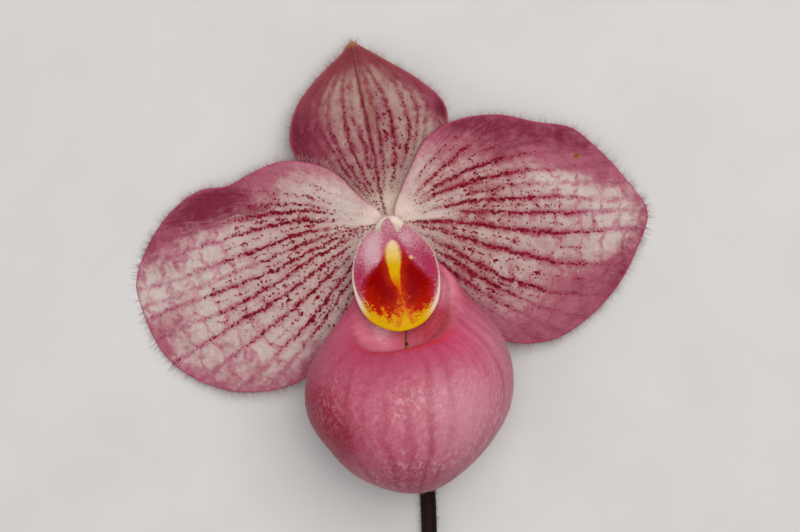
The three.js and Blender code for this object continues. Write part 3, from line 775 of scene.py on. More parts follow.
def build_flesh_group():
    """The flesh of a petal or sepal: cream, netted and blushed with pink, with the spots laid over it."""
    given, result = new_group(
        "Petal flesh",
        {"Vector": ["Place"], "Float": ["Vein", "Reach", "Blush", "Deep", "Rim", *MARKS], "Color": PAINTS},
        {"Color": ["Colour"], "Float": ["Height", "Roughness"]},
    )
    place, vein, reach, rim = given["Place"], given["Vein"], given["Reach"], given["Rim"]
    cloud = noise(place, 0.16, 3.0, 0.55) - 0.5
    mottle = noise(place, 0.75, 4.0, 0.65) - 0.5
    lanes = triple(vein * 4.2, reach * 0.32, 0.0)
    stripes = noise(lanes, 1.0, 4.0, 0.65) - 0.5
    folds = noise(triple(vein * 7.0, reach * 0.50, 3.0), 1.0, 3.0, 0.6) - 0.5
    # cream, blushed and netted with pink
    blush = given["Blush"] + cloud * 0.80 + 0.10 + mottle * 1.05 + stripes * 0.55
    blush = ramp(blush + ramp(rim, 3.4, 0.2, 0.0, 0.42), 0.06, 1.12)
    line_colour = blend(blush * 0.42, given["Net colour"], given["Deep colour"])
    # the deep pink of folds and margins, in part painted shade where a margin curls back
    deep = given["Deep"] + stripes * 1.1 + folds * ramp(given["Deep"], 0.05, 0.6) * 1.15
    deep = deep + ramp(rim, 0.60, 0.05, 0.0, 0.25) + (mottle * 0.6 + cloud) * 0.80
    # the spots in their glow
    bead = ramp(noise(place, 1.3, 1.0), 0.40, 0.62, 0.0, 0.54)
    colour = painted(
        given["Cream"],
        (blush, given["Blush colour"]),
        (given["Haze"], given["Haze colour"]),
        (given["Net"] * 0.85, line_colour),
        (ramp(deep, 0.06, 1.20) * 0.88, given["Deep colour"]),
        # the very edge: its own pink, brightened as painted light shining through the thin edge
        (ramp(rim, 0.55, 0.10, 0.0, 0.55), given["Edge colour"]),
        (given["Glow"] * 0.52, given["Glow colour"]),
        (given["Spots"], blend(bead, given["Spot colour"], given["Glow colour"])),
    )
    grain = noise(place, 6.5, 2.0)
    sparkle = ramp(grain, 0.25, 0.75, 0.91, 1.09)
    # the relief: quilted between the veins, striped and folded along them, crumpled further out
    crumple = noise(place, 0.42, 2.0, 0.6) * ramp(reach, 20.0, 36.0, 0.0, 3.6)
    height = mottle * 1.9 + given["Closeness"] * -0.55 + crumple + stripes
    height = height + folds * given["Blush"] * 1.4 + grain * 0.40 + given["Spots"] * 0.10
    tone = made(colour.tree, "ShaderNodeHueSaturation", 0, {"Color": colour, "Value": sparkle})
    plug(result["Colour"], tone)
    plug(result["Height"], height)
    plug(result["Roughness"], ramp(grain, 0.3, 0.7, 0.50, 0.62))


def flesh_of(tree, rungs, *paints):
    """The place, vein, reach, spots and flesh of a petal or sepal, from what is noted on its mesh."""
    place = in_mm(tree)
    vein, reach, spacing = parted(read(tree, "fan"))
    blush, deep, rim = parted(read(tree, "tint"))
    spotting, net, haze = parted(read(tree, "marks"))
    marks = grouped(tree, "Vein marks", {
        "Place": place, "Vein": vein, "Reach": reach, "Spacing": spacing, "Spotting": spotting, "Net": net,
        "Haze": haze, "Rungs": rungs,
    })
    flesh = grouped(tree, "Petal flesh", {
        "Place": place, "Vein": vein, "Reach": reach, "Blush": blush, "Deep": deep, "Rim": rim,
        **marks, **dict(zip(PAINTS, paints)),
    })
    return place, vein, reach, marks["Spots"], flesh


def finish_flesh(tree, colours, colour, flesh, seat, spots):
    """Ends a petal's or sepal's material. Its seat pales to the column's cream between the spots."""
    colour = blend(seat * ramp(spots, 0.0, 1.0, 1.0, 0.25), colour, colours.column)
    finish_material(
        tree, colour, flesh["Roughness"], flesh["Height"], depth=0.16, shine=0.09,
        scatter=(0.16, (1.0, 0.35, 0.30), 0.8))


def petal_nodes(tree, colours):
    """A petal: cream under a blush, a net and rows of spots. The right one has a brown speck."""
    place, _, reach, spots, flesh = flesh_of(
        tree, 1.0, colours.cream, colours.blush, colours.deep, colours.spot, colours.glow, colours.net,
        colours.haze, colours.edge)
    across, along, _ = parted(place)
    speck = away_from(triple(across, along, 0.0), SPECK_AT) + (noise(place, 2.5, 1.0) - 0.5) * 0.5
    colour = blend(ramp(speck, 0.58, 0.34), flesh["Colour"], colours.brown_speck)
    finish_flesh(tree, colours, colour, flesh, ramp(reach, 6.5, 2.8, 0.0, 0.55), spots)


def sepal_nodes(tree, colours):
    """A sepal: greenish at its base, browner along its middle and its end, with a sandy point."""
    net = colours.sepal_net
    place, vein, reach, spots, flesh = flesh_of(
        tree, 0.35, colours.sepal_cream, colours.sepal_blush, colours.sepal_deep, colours.sepal_spot, net,
        net, net, colours.sepal_edge)
    olive = ramp(reach, 11.0, 2.0, 0.0, 0.14) * (1.0 - spots)
    browned = ramp(reach, 11.0, 24.0, 0.0, 0.50) * ramp(abs(vein - 0.55), 1.0, 0.2)
    browned = browned * ramp(noise(place, 0.5, 2.0), 0.30, 0.55, 0.35, 1.0)
    browned = larger(browned, ramp(reach, 18.0, 30.0, 0.0, 0.34))
    browned = larger(browned, ramp(reach, 30.5, 33.5, 0.0, 0.8))
    midrib = abs(vein) + ramp(noise(place, 0.9, 2.0), 0.3, 0.7, 0.0, 0.16)
    midrib = ramp(midrib, 0.34, 0.08) * ramp(reach, 13.0, 19.0, 0.0, 0.62)
    colour = painted(
        flesh["Colour"],
        (olive, colours.sepal_green),
        (browned, colours.sepal_tip),
        (midrib, colours.sepal_deep),
        (ramp(reach, 31.6, 33.6, 0.0, 0.85), colours.sepal_point),
    )
    finish_flesh(tree, colours, colour, flesh, ramp(reach, 7.0, 3.2, 0.0, 0.42), spots)


def hair_nodes(tree, colour, tip_colour=None):
    """A hair, which changes to its tip's colour on the way up where one is given."""
    place = in_mm(tree)
    if tip_colour:
        colour = blend(ramp(parted(read(tree, "hair"))[0], 0.0, 0.6), colour, tip_colour)
    finish_material(tree, colour, 0.45, noise(place, 8.0), depth=0.02)


# ---------- settings ----------
def length_property(label, description, size, least, most):
    """A setting in metres."""
    return bpy.props.FloatProperty(
        name=label, description=description, default=size, min=least, max=most, precision=5, unit="LENGTH")


def count_property(label, description, count, most):
    return bpy.props.IntProperty(name=label, description=description, default=count, min=0, max=most)


def colour_property(label, description, code):
    return bpy.props.FloatVectorProperty(
        name=label, description=description, default=paint(code), size=4, min=0.0, max=1.0, subtype="COLOR")


class OrchidSizes(bpy.types.PropertyGroup):
    """Sizes of the flower's pieces that a grower may want to change."""
    petal_thickness: length_property(
        "Petal thickness", "Thickness of a petal at its middle", 0.00072, 0.0003, 0.001)
    sepal_thickness: length_property(
        "Sepal thickness", "Thickness of a sepal at its middle", 0.00072, 0.0003, 0.0009)
    pouch_thickness: length_property(
        "Pouch wall", "Thickness of the pouch's wall", 0.00095, 0.0005, 0.001)
    staminode_thickness: length_property(
        "Staminode thickness", "Thickness of the shield over the column", 0.0010, 0.0005, 0.0011)
    margin_hair_length: length_property(
        "Margin hair length", "Length of the hairs on the petals' margins", 0.0016, 0.0, 0.0025)
    margin_hairs: count_property("Margin hairs", "Hairs on the margin of each petal", 900, 2000)
    pouch_hairs: count_property("Pouch hairs", "Short hairs over the outside of the pouch", 4200, 6000)
    stem_hairs: count_property("Stem hairs", "Hairs on the stem and the ovary", 1900, 5000)
    column_hairs: count_property("Column hairs", "Hairs round the foot of the column", 420, 1000)


class OrchidColours(bpy.types.PropertyGroup):
    """Colours of the flower's flesh and marks."""
    cream: colour_property("Cream", "Ground colour of petals and sepals", "cebcb4")
    blush: colour_property("Blush", "Pink that spreads in from the margins", "ae6171")
    deep: colour_property("Deep pink", "Darkest pink of margins and folds", "741630")
    spot: colour_property("Spots", "Crimson of the rows of spots", "660014")
    glow: colour_property("Spot glow", "Crimson pink round the spots", "a0183e")
    net: colour_property("Net", "Soft pink of the outer veins", "b45e7a")
    # edge: the margin's own pink, brightened as painted light through the thin edge
    edge: colour_property("Edge", "Bright pink of the very edge", "c04c74")
    haze: colour_property("Haze", "Dull rose between the rows of spots", "985058")
    brown_speck: colour_property("Speck", "The one brown speck on the right petal", "8a531a")
    sepal_spot: colour_property("Sepal spots", "Brown red of the sepals' spots", "64060e")
    # sepal_edge: the sepals' edge pink, brightened likewise as painted light through the thin edge
    sepal_edge: colour_property("Sepal edge", "Soft pink of the sepals' very edge", "b4586c")
    sepal_point: colour_property("Sepal point", "Sandy orange of the sepal's very point", "c09468")
    # sepal_cream, sepal_blush and sepal_deep are darker than the petals' colours: partly the sepals' browner
    # tone, partly painted shade on the tilted top sepal
    sepal_cream: colour_property("Sepal cream", "Ground colour of the sepals", "b49d90")
    sepal_blush: colour_property("Sepal blush", "Pink of the sepals' sides", "8e3d50")
    sepal_deep: colour_property("Sepal deep pink", "Darkest pink of the sepals", "5e161f")
    sepal_net: colour_property("Sepal veins", "Rose of the sepals' veins", "8e344c")
    sepal_green: colour_property("Sepal base", "Greenish cream at the sepals' bases", "b3a584")
    sepal_tip: colour_property("Sepal tip", "Brown red along the top sepal's end", "8e4c3c")
    pouch: colour_property("Pouch", "Ground colour of the pouch", "b4526a")
    # pouch_pale: the real pale flecks, and also the painted light on the pouch's lit side and shoulders
    pouch_pale: colour_property("Pouch mottling", "Pale flecks and the paler inside of the pouch", "d0949f")
    # pouch_deep: the veins and streaks, and also the painted shade low on the pouch's left
    pouch_deep: colour_property("Pouch veins", "Veins of the pouch and the band under its lip", "8e1032")
    pouch_lip: colour_property("Pouch lip", "Strong pink of the pouch's lip", "d03a6e")
    pouch_crest: colour_property("Pouch crest", "Red pink of the crest of the lip", "d62238")
    # the inside's pinks are partly its own colour and partly painted light that lifts the shaded hollow
    pouch_inside: colour_property("Pouch inside", "Light pink of the inside of the pouch", "e06c88")
    # pouch_inside_pale: painted light in the mouth, and also the pale of the inside's mottling
    pouch_inside_pale: colour_property("Pouch inside, pale", "Palest pink of the inside", "ffb0bf")
    # pouch_inside_red: painted shade on the inside's steep right flank
    pouch_inside_red: colour_property("Pouch inside, red", "Red shade of the inside's right flank", "c8404e")
    pouch_line: colour_property("Pouch line", "Grey brown line down the inside of the pouch's back", "d07a60")
    shield_pink: colour_property("Staminode pink", "Pale pink of the staminode's upper lobes", "cda0a9")
    shield_magenta: colour_property("Staminode magenta", "Magenta of its ridge and sides", "a53052")
    shield_red: colour_property("Staminode red", "Deep red of the staminode's flanks", "840000")
    shield_orange: colour_property("Staminode orange", "Orange red towards its lower rim", "a61402")
    shield_glow: colour_property("Staminode glow", "Bright red beside the yellow wedge", "c02c10")
    shield_yellow: colour_property("Staminode yellow", "Yellow wedge and lower rim", "d0a006")
    shield_lemon: colour_property("Staminode lemon", "Paler upper end of the yellow wedge", "e0bc68")
    shield_flame: colour_property("Staminode flames", "Orange flames in the lower red", "c45802")
    shield_white: colour_property("Staminode rim", "Creamy white rim at the sides", "e0c9ba")
    column: colour_property("Column", "Creamy column", "f6e2d2")
    pollen: colour_property("Pollen", "Sticky pollen of the anthers", "d9a92e")
    ovary_green: colour_property("Ovary green", "Green between the ovary's ribs", "6f7040")
    # stem_brown: the stem's own dark maroon, darkened further as painted shade
    stem_brown: colour_property("Stem", "Maroon brown of the stem and the ovary's ribs", "170502")
    bract_green: colour_property("Bract", "Green of the bract", "7f8b46")
    hair_white: colour_property("Hairs", "Pale hairs of the margins", "c2a69e")
    # stem_hair: darkened as painted shade; the hairs themselves are a paler greenish grey
    stem_hair: colour_property("Stem hairs", "Dull hairs of the stem", "24140e")


# ---------- flat organs ----------
def outline_samples(outline, count):
    """The outline's own points, and so many places along its smooth course."""
    points = np.array([[x, y, 0.0] for x, y in outline])
    return points, curve_point(points, np.arange(count) / count, closed=True)


def frilled(frill, x, y):
    """How far the margin of a flat organ stands up or down. frill is a height in mm and a seed."""
    size, seed = frill
    return size * ripple(x, y, seed, FRILL_WAVE)


def away_from_margin(margin, x, y):
    """How far each place is from the nearest sample of the margin, worked out in handfuls to save memory."""
    rim = np.full(len(x), FAR_FROM_MARGIN)
    for start in range(0, len(margin), HANDFUL):
        part = margin[start:start + HANDFUL]
        away = np.hypot(x[:, None] - part[None, :, 0], y[:, None] - part[None, :, 1]).min(axis=1)
        rim = np.minimum(rim, away)
    return rim


def grow_blade(name, outline, height, thickness, edge, around, rings, frill=(0.0, 0)):
    """A flat organ: one half of a sphere becomes its front, the other its back, and the equator its edge."""
    mesh, turn, polar = sphere_mesh(name, around, rings)
    points, margin = outline_samples(outline, 720)
    area = np.sum(points[:, 0] * np.roll(points[:, 1], -1) - np.roll(points[:, 0], -1) * points[:, 1])
    along = turn if area > 0 else (1 - turn) % 1.0
    on_front = polar <= 0.5
    share = np.minimum(1, 2 * np.where(on_front, polar, 1 - polar))
    hub = points.mean(axis=0)
    at = hub + (curve_point(points, along, closed=True) - hub) * (1 - (1 - share) ** 1.2)[:, None]
    x, y = at[:, 0], at[:, 1]
    rim = away_from_margin(margin, x, y)
    step = 0.05
    slope_x = (height(x + step, y) - height(x - step, y)) / (2 * step)
    slope_y = (height(x, y + step) - height(x, y - step)) / (2 * step)
    normal = unit(rows_of(-slope_x, -slope_y, np.ones_like(x)))
    thick = edge + (thickness - edge) * rise(rim, 0.0, 7.0)
    half = thick / 2 * np.sqrt(np.maximum(0, 1 - share ** 14))
    at[:, 2] = height(x, y) + frilled(frill, x, y) * rise(rim, 3.0, 0.0)
    put_down(mesh, at + normal * np.where(on_front, half, -half)[:, None])
    return mesh, x, y, rim


def fan_notes(mesh, x, y, rim, veins, from_angle, blush, deep, haze):
    """Notes for a petal: the vein number, the reach and the veins' spacing, then the tints and marks."""
    reach = np.hypot(x, y)
    angle = np.degrees(np.arctan2(y, x))
    angle = np.where(angle < from_angle, angle + 360, angle)
    bearings = np.stack([np.interp(reach, FAN_REACH, v[0]) for v in veins])
    spotted = np.stack([np.interp(reach, FAN_REACH, v[1]) for v in veins])
    number_veins(
        mesh, angle, bearings, spotted, reach, np.radians(1.0) * np.maximum(reach, 1.0), rim,
        laid_on(blush, x, y), laid_on(deep, x, y), rise(reach, 19, 30) * 0.95, haze)


def number_veins(mesh, across, lines, spotted, reach, unit_mm, rim, blush, deep, net, haze, middle=0.0):
    """Finds each vertex's place among the veins, whose positions across the organ are given for it."""
    order = 1 if lines[-1].mean() > lines[0].mean() else -1
    lines, spotted = lines[::order], spotted[::order]
    number = np.zeros_like(across)
    gap = np.zeros_like(across)
    spotting = np.zeros_like(across)
    last = len(lines) - 2
    for k in range(last + 1):
        low, high = lines[k], lines[k + 1]
        share = (across - low) / np.maximum(high - low, 1e-6)
        inside = (share >= 0) & (share < 1)
        inside |= (share < 0) & (k == 0)
        inside |= (share >= 1) & (k == last)
        number = np.where(inside, k + share, number)
        gap = np.where(inside, high - low, gap)
        mix = np.clip(share, 0, 1)
        spotting = np.where(inside, spotted[k] * (1 - mix) + spotted[k + 1] * mix, spotting)
    beyond = np.clip(np.maximum(-number, number - (len(lines) - 1)), 0, 1)
    spotting *= 1 - beyond
    note(mesh, "fan", rows_of(number - middle, reach, gap * unit_mm))
    note(mesh, "tint", rows_of(blush, deep, rim))
    note(mesh, "marks", rows_of(spotting, net, np.full_like(net, haze)))


def sepal_notes(mesh, x, y, rim, axis, veins, blush, deep):
    """Notes for a sepal, whose veins are given by how far they lie from its axis."""
    along = x * axis[0] + y * axis[1]
    across = x * axis[1] - y * axis[0]
    middle = (len(veins) - 1) / 2
    lines = np.stack([np.interp(along, SEPAL_ALONG, v[0]) for v in veins])
    spotted = np.stack([np.interp(along, SEPAL_ALONG, v[1]) for v in veins])
    shrink = np.interp(along, [0.0, 4.0, 29.0, 34.0], [0.5, 1.0, 1.0, 0.3])
    number_veins(
        mesh, across, lines * shrink, spotted, along, np.ones_like(x), rim,
        laid_on(blush, x, y), laid_on(deep, x, y), rise(along, 7, 16) * 1.05, 0.86, middle)


def settings():
    return bpy.context.scene.orchid_sizes, bpy.context.scene.orchid_colours


def groups_once():
    if "Vein marks" not in bpy.data.node_groups:
        build_vein_group()
        build_flesh_group()


class ORCHID_OT_petals(bpy.types.Operator):
    """Grow the two broad petals"""
    bl_idname = "orchid.petals"
    bl_label = "Petals"

    def execute(self, context):
        sizes, colours = settings()
        groups_once()
        thick = sizes.petal_thickness / MM
        # the right petal takes more haze than the left: its duller rose is partly painted shade, as the right
        # petal lies away from the light
        left = (LEFT_VEINS, LEFT_FROM, LEFT_BLUSH, LEFT_DEEP, 0.75)
        right = (RIGHT_VEINS, RIGHT_FROM, RIGHT_BLUSH, RIGHT_DEEP, 1.25)
        for node, outline, height, tints in (
            ("petal_left", PETAL_LEFT, left_petal_height, left),
            ("petal_right", PETAL_RIGHT, right_petal_height, right),
        ):
            mesh, x, y, rim = grow_blade(
                node + "_blade", outline, height, thick, BLADE_EDGE, around=300, rings=150, frill=PETAL_FRILL)
            fan_notes(mesh, x, y, rim, *tints)
            keep(mesh, node, "petal", "petal flesh", petal_nodes, colours)
        return {"FINISHED"}


class ORCHID_OT_sepals(bpy.types.Operator):
    """Grow the sepal at the top and the one behind the pouch"""
    bl_idname = "orchid.sepals"
    bl_label = "Sepals"

    def execute(self, context):
        sizes, colours = settings()
        groups_once()
        thick = sizes.sepal_thickness / MM
        top = (TOP_SEPAL_AXIS, TOP_SEPAL_VEINS, TOP_BLUSH, TOP_DEEP)
        lower = (LOWER_SEPAL_AXIS, LOWER_SEPAL_VEINS, LOWER_BLUSH, LOWER_DEEP)
        for node, outline, height, rings, frill, tints in (
            ("top_sepal", TOP_SEPAL, top_sepal_height, 130, TOP_SEPAL_FRILL, top),
            ("lower_sepal", LOWER_SEPAL, lower_sepal_height, 100, LOWER_SEPAL_FRILL, lower),
        ):
            mesh, x, y, rim = grow_blade(
                node + "_blade", outline, height, thick, BLADE_EDGE, around=2 * rings, rings=rings,
                frill=frill)
            sepal_notes(mesh, x, y, rim, *tints)
            keep(mesh, node, "sepal", "sepal flesh", sepal_nodes, colours)
        return {"FINISHED"}


# ---------- the pouch ----------
def pouch_ring(share):
    """The numbers of the ring at each share of the way from the toe to the mouth."""
    rows = curve_point(np.array(POUCH_RINGS), np.clip(share, 0, 1), even=True)
    return [rows[..., i] for i in range(rows.shape[-1])]


def pouch_point(turn, share):
    """The pouch's middle surface: turn goes round it, 0 at the right and a quarter at the front."""
    (front_y, front_z, back_x, back_y, back_z, left, right, drop_left, drop_right, lift,
     square) = pouch_ring(share)
    cos, sin = np.cos(FULL_TURN * turn), np.sin(FULL_TURN * turn)
    power = np.where(sin > 0, square, 2.0)
    size = (np.abs(cos) ** power + np.abs(sin) ** power) ** (-1 / power)
    across, ahead = cos * size, sin * size
    middle = (left + right) / 2
    to_front = 0.5 + 0.5 * ahead
    drop = np.where(across < 0, drop_left, drop_right) * across ** 2
    x = middle + (right - left) / 2 * across + (back_x - middle) * np.maximum(0, -ahead) ** 2
    y = back_y + (front_y - back_y) * to_front + lift * across
    z = back_z + (front_z - back_z) * to_front - drop
    return np.stack([x, y, z], axis=-1)


def pouch_normal(turn, share):
    """The way out of the pouch's middle surface, which at the toe is down and to the front."""
    step = 0.004
    round_it = pouch_point(turn + step, share) - pouch_point(turn - step, share)
    up_it = pouch_point(turn, np.minimum(share + step, 1)) - pouch_point(turn, np.maximum(share - step, 0))
    normal = unit(np.cross(up_it, round_it))
    toe = unit(np.array([0.0, -1.0, -0.35]))
    near_toe = rise(share, 0.03, 0.01)[..., None]
    return unit(normal * (1 - near_toe) + toe * near_toe)


def outer_pouch(place, grain, angle, share, streak, mottle, band, pale, deep, crest, colours):
    """The outside: mottled flesh with soft veins from the lip to the toe. Gives its veins and its colour."""
    wobble = noise(place, 0.10, 2.0) - 0.5
    vein = angle * (POUCH_VEINS / FULL_TURN) + wobble * 1.3
    line = ramp(abs(fraction(vein) - 0.5), 0.36, 0.0) * ramp(luck(floored(vein) % POUCH_VEINS), 0.24, 0.80)
    line = line * ramp(noise(grain, 0.16, 2.0), 0.30, 0.62, 0.22, 1.0)
    line = line * ramp(share, 0.04, 0.16)
    cloud = ramp(noise(place, 0.11, 2.0), 0.36, 0.66)
    long = made(
        grain.tree, "ShaderNodeVectorMath", 0, {0: grain, 1: (1.0, 1.0, 0.90)}, operation="MULTIPLY")
    fleck = ramp(noise(long, 1.6, 3.0, 0.62), 0.44, 0.68)
    fleck = larger(fleck, ramp(noise(place, 2.2, 2.0), 0.52, 0.70, 0.0, 0.8))
    low = ramp(share, 0.70, 0.50)
    flecks = fleck * (low * ramp(cloud, 0.0, 1.0, 0.40, 0.92))
    flecks = larger(flecks, mottle * ramp(low, 0.0, 1.0, 0.12, 0.30))
    return line, painted(
        colours.pouch,
        # painted light: paler where pale is laid on, on the lit right side and the shoulders
        (pale * 0.75, colours.pouch_pale),
        # painted shade where deep is laid on, low on the left, over a cloudy darkening of the flesh
        ((cloud * 0.22 + deep * 0.95) * 0.86, colours.pouch_deep),
        (flecks * ramp(deep, 0.0, 1.0, 1.0, 0.34), colours.pouch_pale),
        (line * ramp(share, 0.45, 0.20, 0.42, 0.66), colours.pouch_deep),
        (band * 0.62, colours.pouch_lip),
        (streak * 0.30, colours.pouch_deep),
        (crest * 0.85, colours.pouch_crest),
    )


def inner_pouch(place, streak, mottle, pale, deep, colours):
    """The colour of the inside: painted lighter, with painted glints on the left, painted red shade on the
    right and a seam down its back.
    """
    across, along, _ = parted(place)
    # painted highlights: small bright glints on the left of the mouth
    painted_glint = ramp(noise(place, 2.4, 3.0, 0.65), 0.51, 0.62) * ramp(pale, 0.50, 0.95) * ramp(across, 3.0, 1.5)
    # the brown strip where the rolled-in margins meet, with its groove painted bright as painted light
    # against its shade, and its dark spots
    seam_x, seam_y = SEAM_TOP
    beside = abs(across - (seam_x - (along - seam_y) * SEAM_LEAN))
    beside = beside - (ramp(along, 40.2, 37.2, 0.26, 0.50) + (mottle - 0.5) * 0.12)
    groove = ramp(abs(across - SEAM_GROOVE_X), 0.34, 0.10)
    colour = painted(
        colours.pouch_inside,
        # painted light: the inside is paler where pale is laid on
        (pale * 0.8, colours.pouch_inside_pale),
        # painted shade: redder where deep is laid on, on the right flank
        (deep * 0.9, colours.pouch_inside_red),
        (mottle * 0.14, colours.pouch_inside_pale),
        (streak * 0.30, colours.pouch_lip),
        (painted_glint * 0.75, POUCH_PAINTED_GLINT),
        (ramp(beside, 0.10, -0.10) * ramp(along, *SEAM_FADES_IN), colours.pouch_line),
        (groove * ramp(along, *SEAM_FADES_IN), SEAM_GROOVE_PAINTED_LIGHT),
    )
    for spot_x, spot_y, radius in SEAM_SPOTS:
        apart = ((across - spot_x) ** 2.0 + (along - spot_y) ** 2.0) ** 0.5
        colour = blend(ramp(apart, radius, radius * 0.45, 0.0, 0.9), colour, SEAM_SPOT)
    return colour


def pouch_nodes(tree, colours):
    """Waxy pink flesh, mottled and veined outside, with a strong pink lip; painted light and shade on the
    outside, and an inside painted lighter.
    """
    place, grain = in_mm(tree), read(tree, "grain")
    angle, share = turned_round(tree)
    # pale holds painted light and deep holds painted shade, both laid on in the pouch's operator
    band, pale, deep = parted(read(tree, "tint"))
    rolled_in, crest, _ = parted(read(tree, "mouth"))
    # fine streaks that fan out over the lip and the shoulders
    swung = angle + (noise(place, 0.10, 2.0) - 0.5) * 0.21
    fan = scaled(triple(cosine(swung), sine(swung), share * 0.66), 9.1)
    streak = ramp(noise(fan, 1.0, 4.0, 0.6), 0.44, 0.66) * ramp(share, 0.42, 0.66)
    mottle = ramp(noise(place, 1.1, 3.0, 0.60), 0.34, 0.74)
    line, outer = outer_pouch(
        place, grain, angle, share, streak, mottle, band, pale, deep, crest, colours)
    colour = blend(rolled_in, outer, inner_pouch(place, streak, mottle, pale, deep, colours))
    skin = noise(place, 3.2, 3.0)
    height = line * -0.15 + mottle * 0.45 + streak * (1.0 - rolled_in) * -0.25 + skin * 0.6
    finish_material(
        tree, colour, ramp(skin, 0.3, 0.7, 0.42, 0.54), height, depth=0.12, shine=0.22,
        scatter=(0.25, (1.0, 0.30, 0.34), 2.0),
        others={"Sheen Weight": 0.05, "Sheen Roughness": 0.4, "Sheen Tint": (1.0, 0.8, 0.86, 1.0)})


class ORCHID_OT_pouch(bpy.types.Operator):
    """Grow the hollow pouch"""
    bl_idname = "orchid.pouch"
    bl_label = "Pouch"

    def execute(self, context):
        sizes, colours = settings()
        mesh, turn, polar = sphere_mesh("pouch_wall", around=256, rings=280)
        outside = polar <= 0.5
        share = np.minimum(1, 2 * np.where(outside, polar, 1 - polar))
        half = sizes.pouch_thickness / MM / 2 * np.sqrt(np.maximum(0, 1 - share ** 40))
        middle = pouch_point(turn, share)
        put_down(mesh, middle + pouch_normal(turn, share) * np.where(outside, half, -half)[:, None])
        x, y = middle[:, 0], middle[:, 1]
        angle = FULL_TURN * turn
        cos, sin = np.cos(angle), np.sin(angle)
        note(mesh, "around", rows_of(cos, sin, share))
        radius = POUCH_GRAIN_RADIUS * np.sin(np.minimum(share * 2.2, 1) * math.pi / 2)
        note(mesh, "grain", rows_of(cos * radius, sin * radius, share * POUCH_GRAIN_LENGTH))
        band = bump(share, 0.73, 0.15) * (0.60 + 0.40 * rise(sin, 0.15, 0.85))
        crest = rise(share, 0.70, 0.765) * rise(sin, 0.45, 0.85) * outside
        rolled_in = np.maximum(~outside, rise(share, 0.735, 0.865) * (1 - rise(sin, 0.75, 0.95)))
        # pale: painted light, outside on the lit side and the shoulders, inside in the mouth and its right
        # crease
        pale = laid_on(POUCH_PAINTED_LIGHT, x, y) * rise(sin, -0.5, 0.3)
        pale = pale * (1 - rolled_in) + laid_on(INSIDE_PAINTED_LIGHT, x, y) * rolled_in
        # deep: painted shade, darker low on the left outside and redder on the steep right flank inside
        deep = laid_on(POUCH_PAINTED_SHADE, x, y) * (1 - rolled_in) + laid_on(INSIDE_PAINTED_RED_SHADE, x, y) * rolled_in
        note(mesh, "mouth", rows_of(rolled_in, crest * (1 - rolled_in), np.zeros_like(crest)))
        band, pale, deep = np.clip(band, 0, 1), np.clip(pale, 0, 1), np.clip(deep, 0, 1.2)
        note(mesh, "tint", rows_of(band, pale, deep))
        keep(mesh, "pouch", "pouch", "pouch flesh", pouch_nodes, colours)
        return {"FINISHED"}


# ---------- the staminode ----------
def staminode_notes(mesh, x, y, rim):
    """Notes how deep in the red flanks and the yellow wedge a vertex is, in mm, and where the pinks and the
    painted highlights are.
    """
    yellow = np.interp(y, WEDGE_Y, WEDGE_WIDTH) - np.abs(x - np.interp(y, WEDGE_Y, WEDGE_X))
    inset = np.interp(y, FLANK_INSET_Y, FLANK_INSET) + 0.5 * bump(x, -5.0, 2.0) * rise(y, -16.0, -10.0)
    red = np.minimum(rim - inset, np.interp(x, FLANK_TOP_X, FLANK_TOP_Y) - y)
    note(mesh, "marks", rows_of(red, yellow, rim))
    note(mesh, "tint", rows_of(laid_on(SHIELD_PAINTED_HIGHLIGHT, x, y), laid_on(SHIELD_MAGENTA, x, y), -y))


def shield_flank(place, red, yellow, down, reach, fine, soft, colours):
    """The colour of the red flanks, with flames of orange and yellow in their lower parts."""
    heat = soft * 2.6 + fine * 2.4 + down * 0.34 - red * 0.55
    purple = ramp(reach, 1.5, 0.0) * ramp(down, 14.0, 9.0)
    flame = noise(place, 1.25, 4.0, 0.68) + ramp(yellow, -2.2, 0.0) * 0.13
    flame = flame + ramp(down, 10.5, 18.0, -0.19, 0.11) + ramp(red, 2.6, 0.4, 0.0, 0.06)
    flames = ramp(flame, 0.53, 0.62) * ramp(down, 10.8, 12.4)
    return painted(
        colours.shield_red,
        (ramp(heat, 1.7, 4.2), colours.shield_orange),
        (purple * 0.65, colours.shield_magenta),
        (flames * 0.9, colours.shield_flame),
        (ramp(flame, 0.62, 0.74) * flames * 0.85, colours.shield_yellow),
    )


def shield_wedge(down, colours):
    """The colour of the wedge, pale at its upper end and orange where it narrows."""
    return painted(
        colours.shield_yellow,
        (ramp(down, 7.9, 5.6), colours.shield_lemon),
        (ramp(down, 5.6, 4.0, 0.0, 0.50), colours.shield_white),
        (ramp(down, 8.8, 11.4) * ramp(down, 17.5, 14.6) * 0.88, colours.shield_flame),
    )


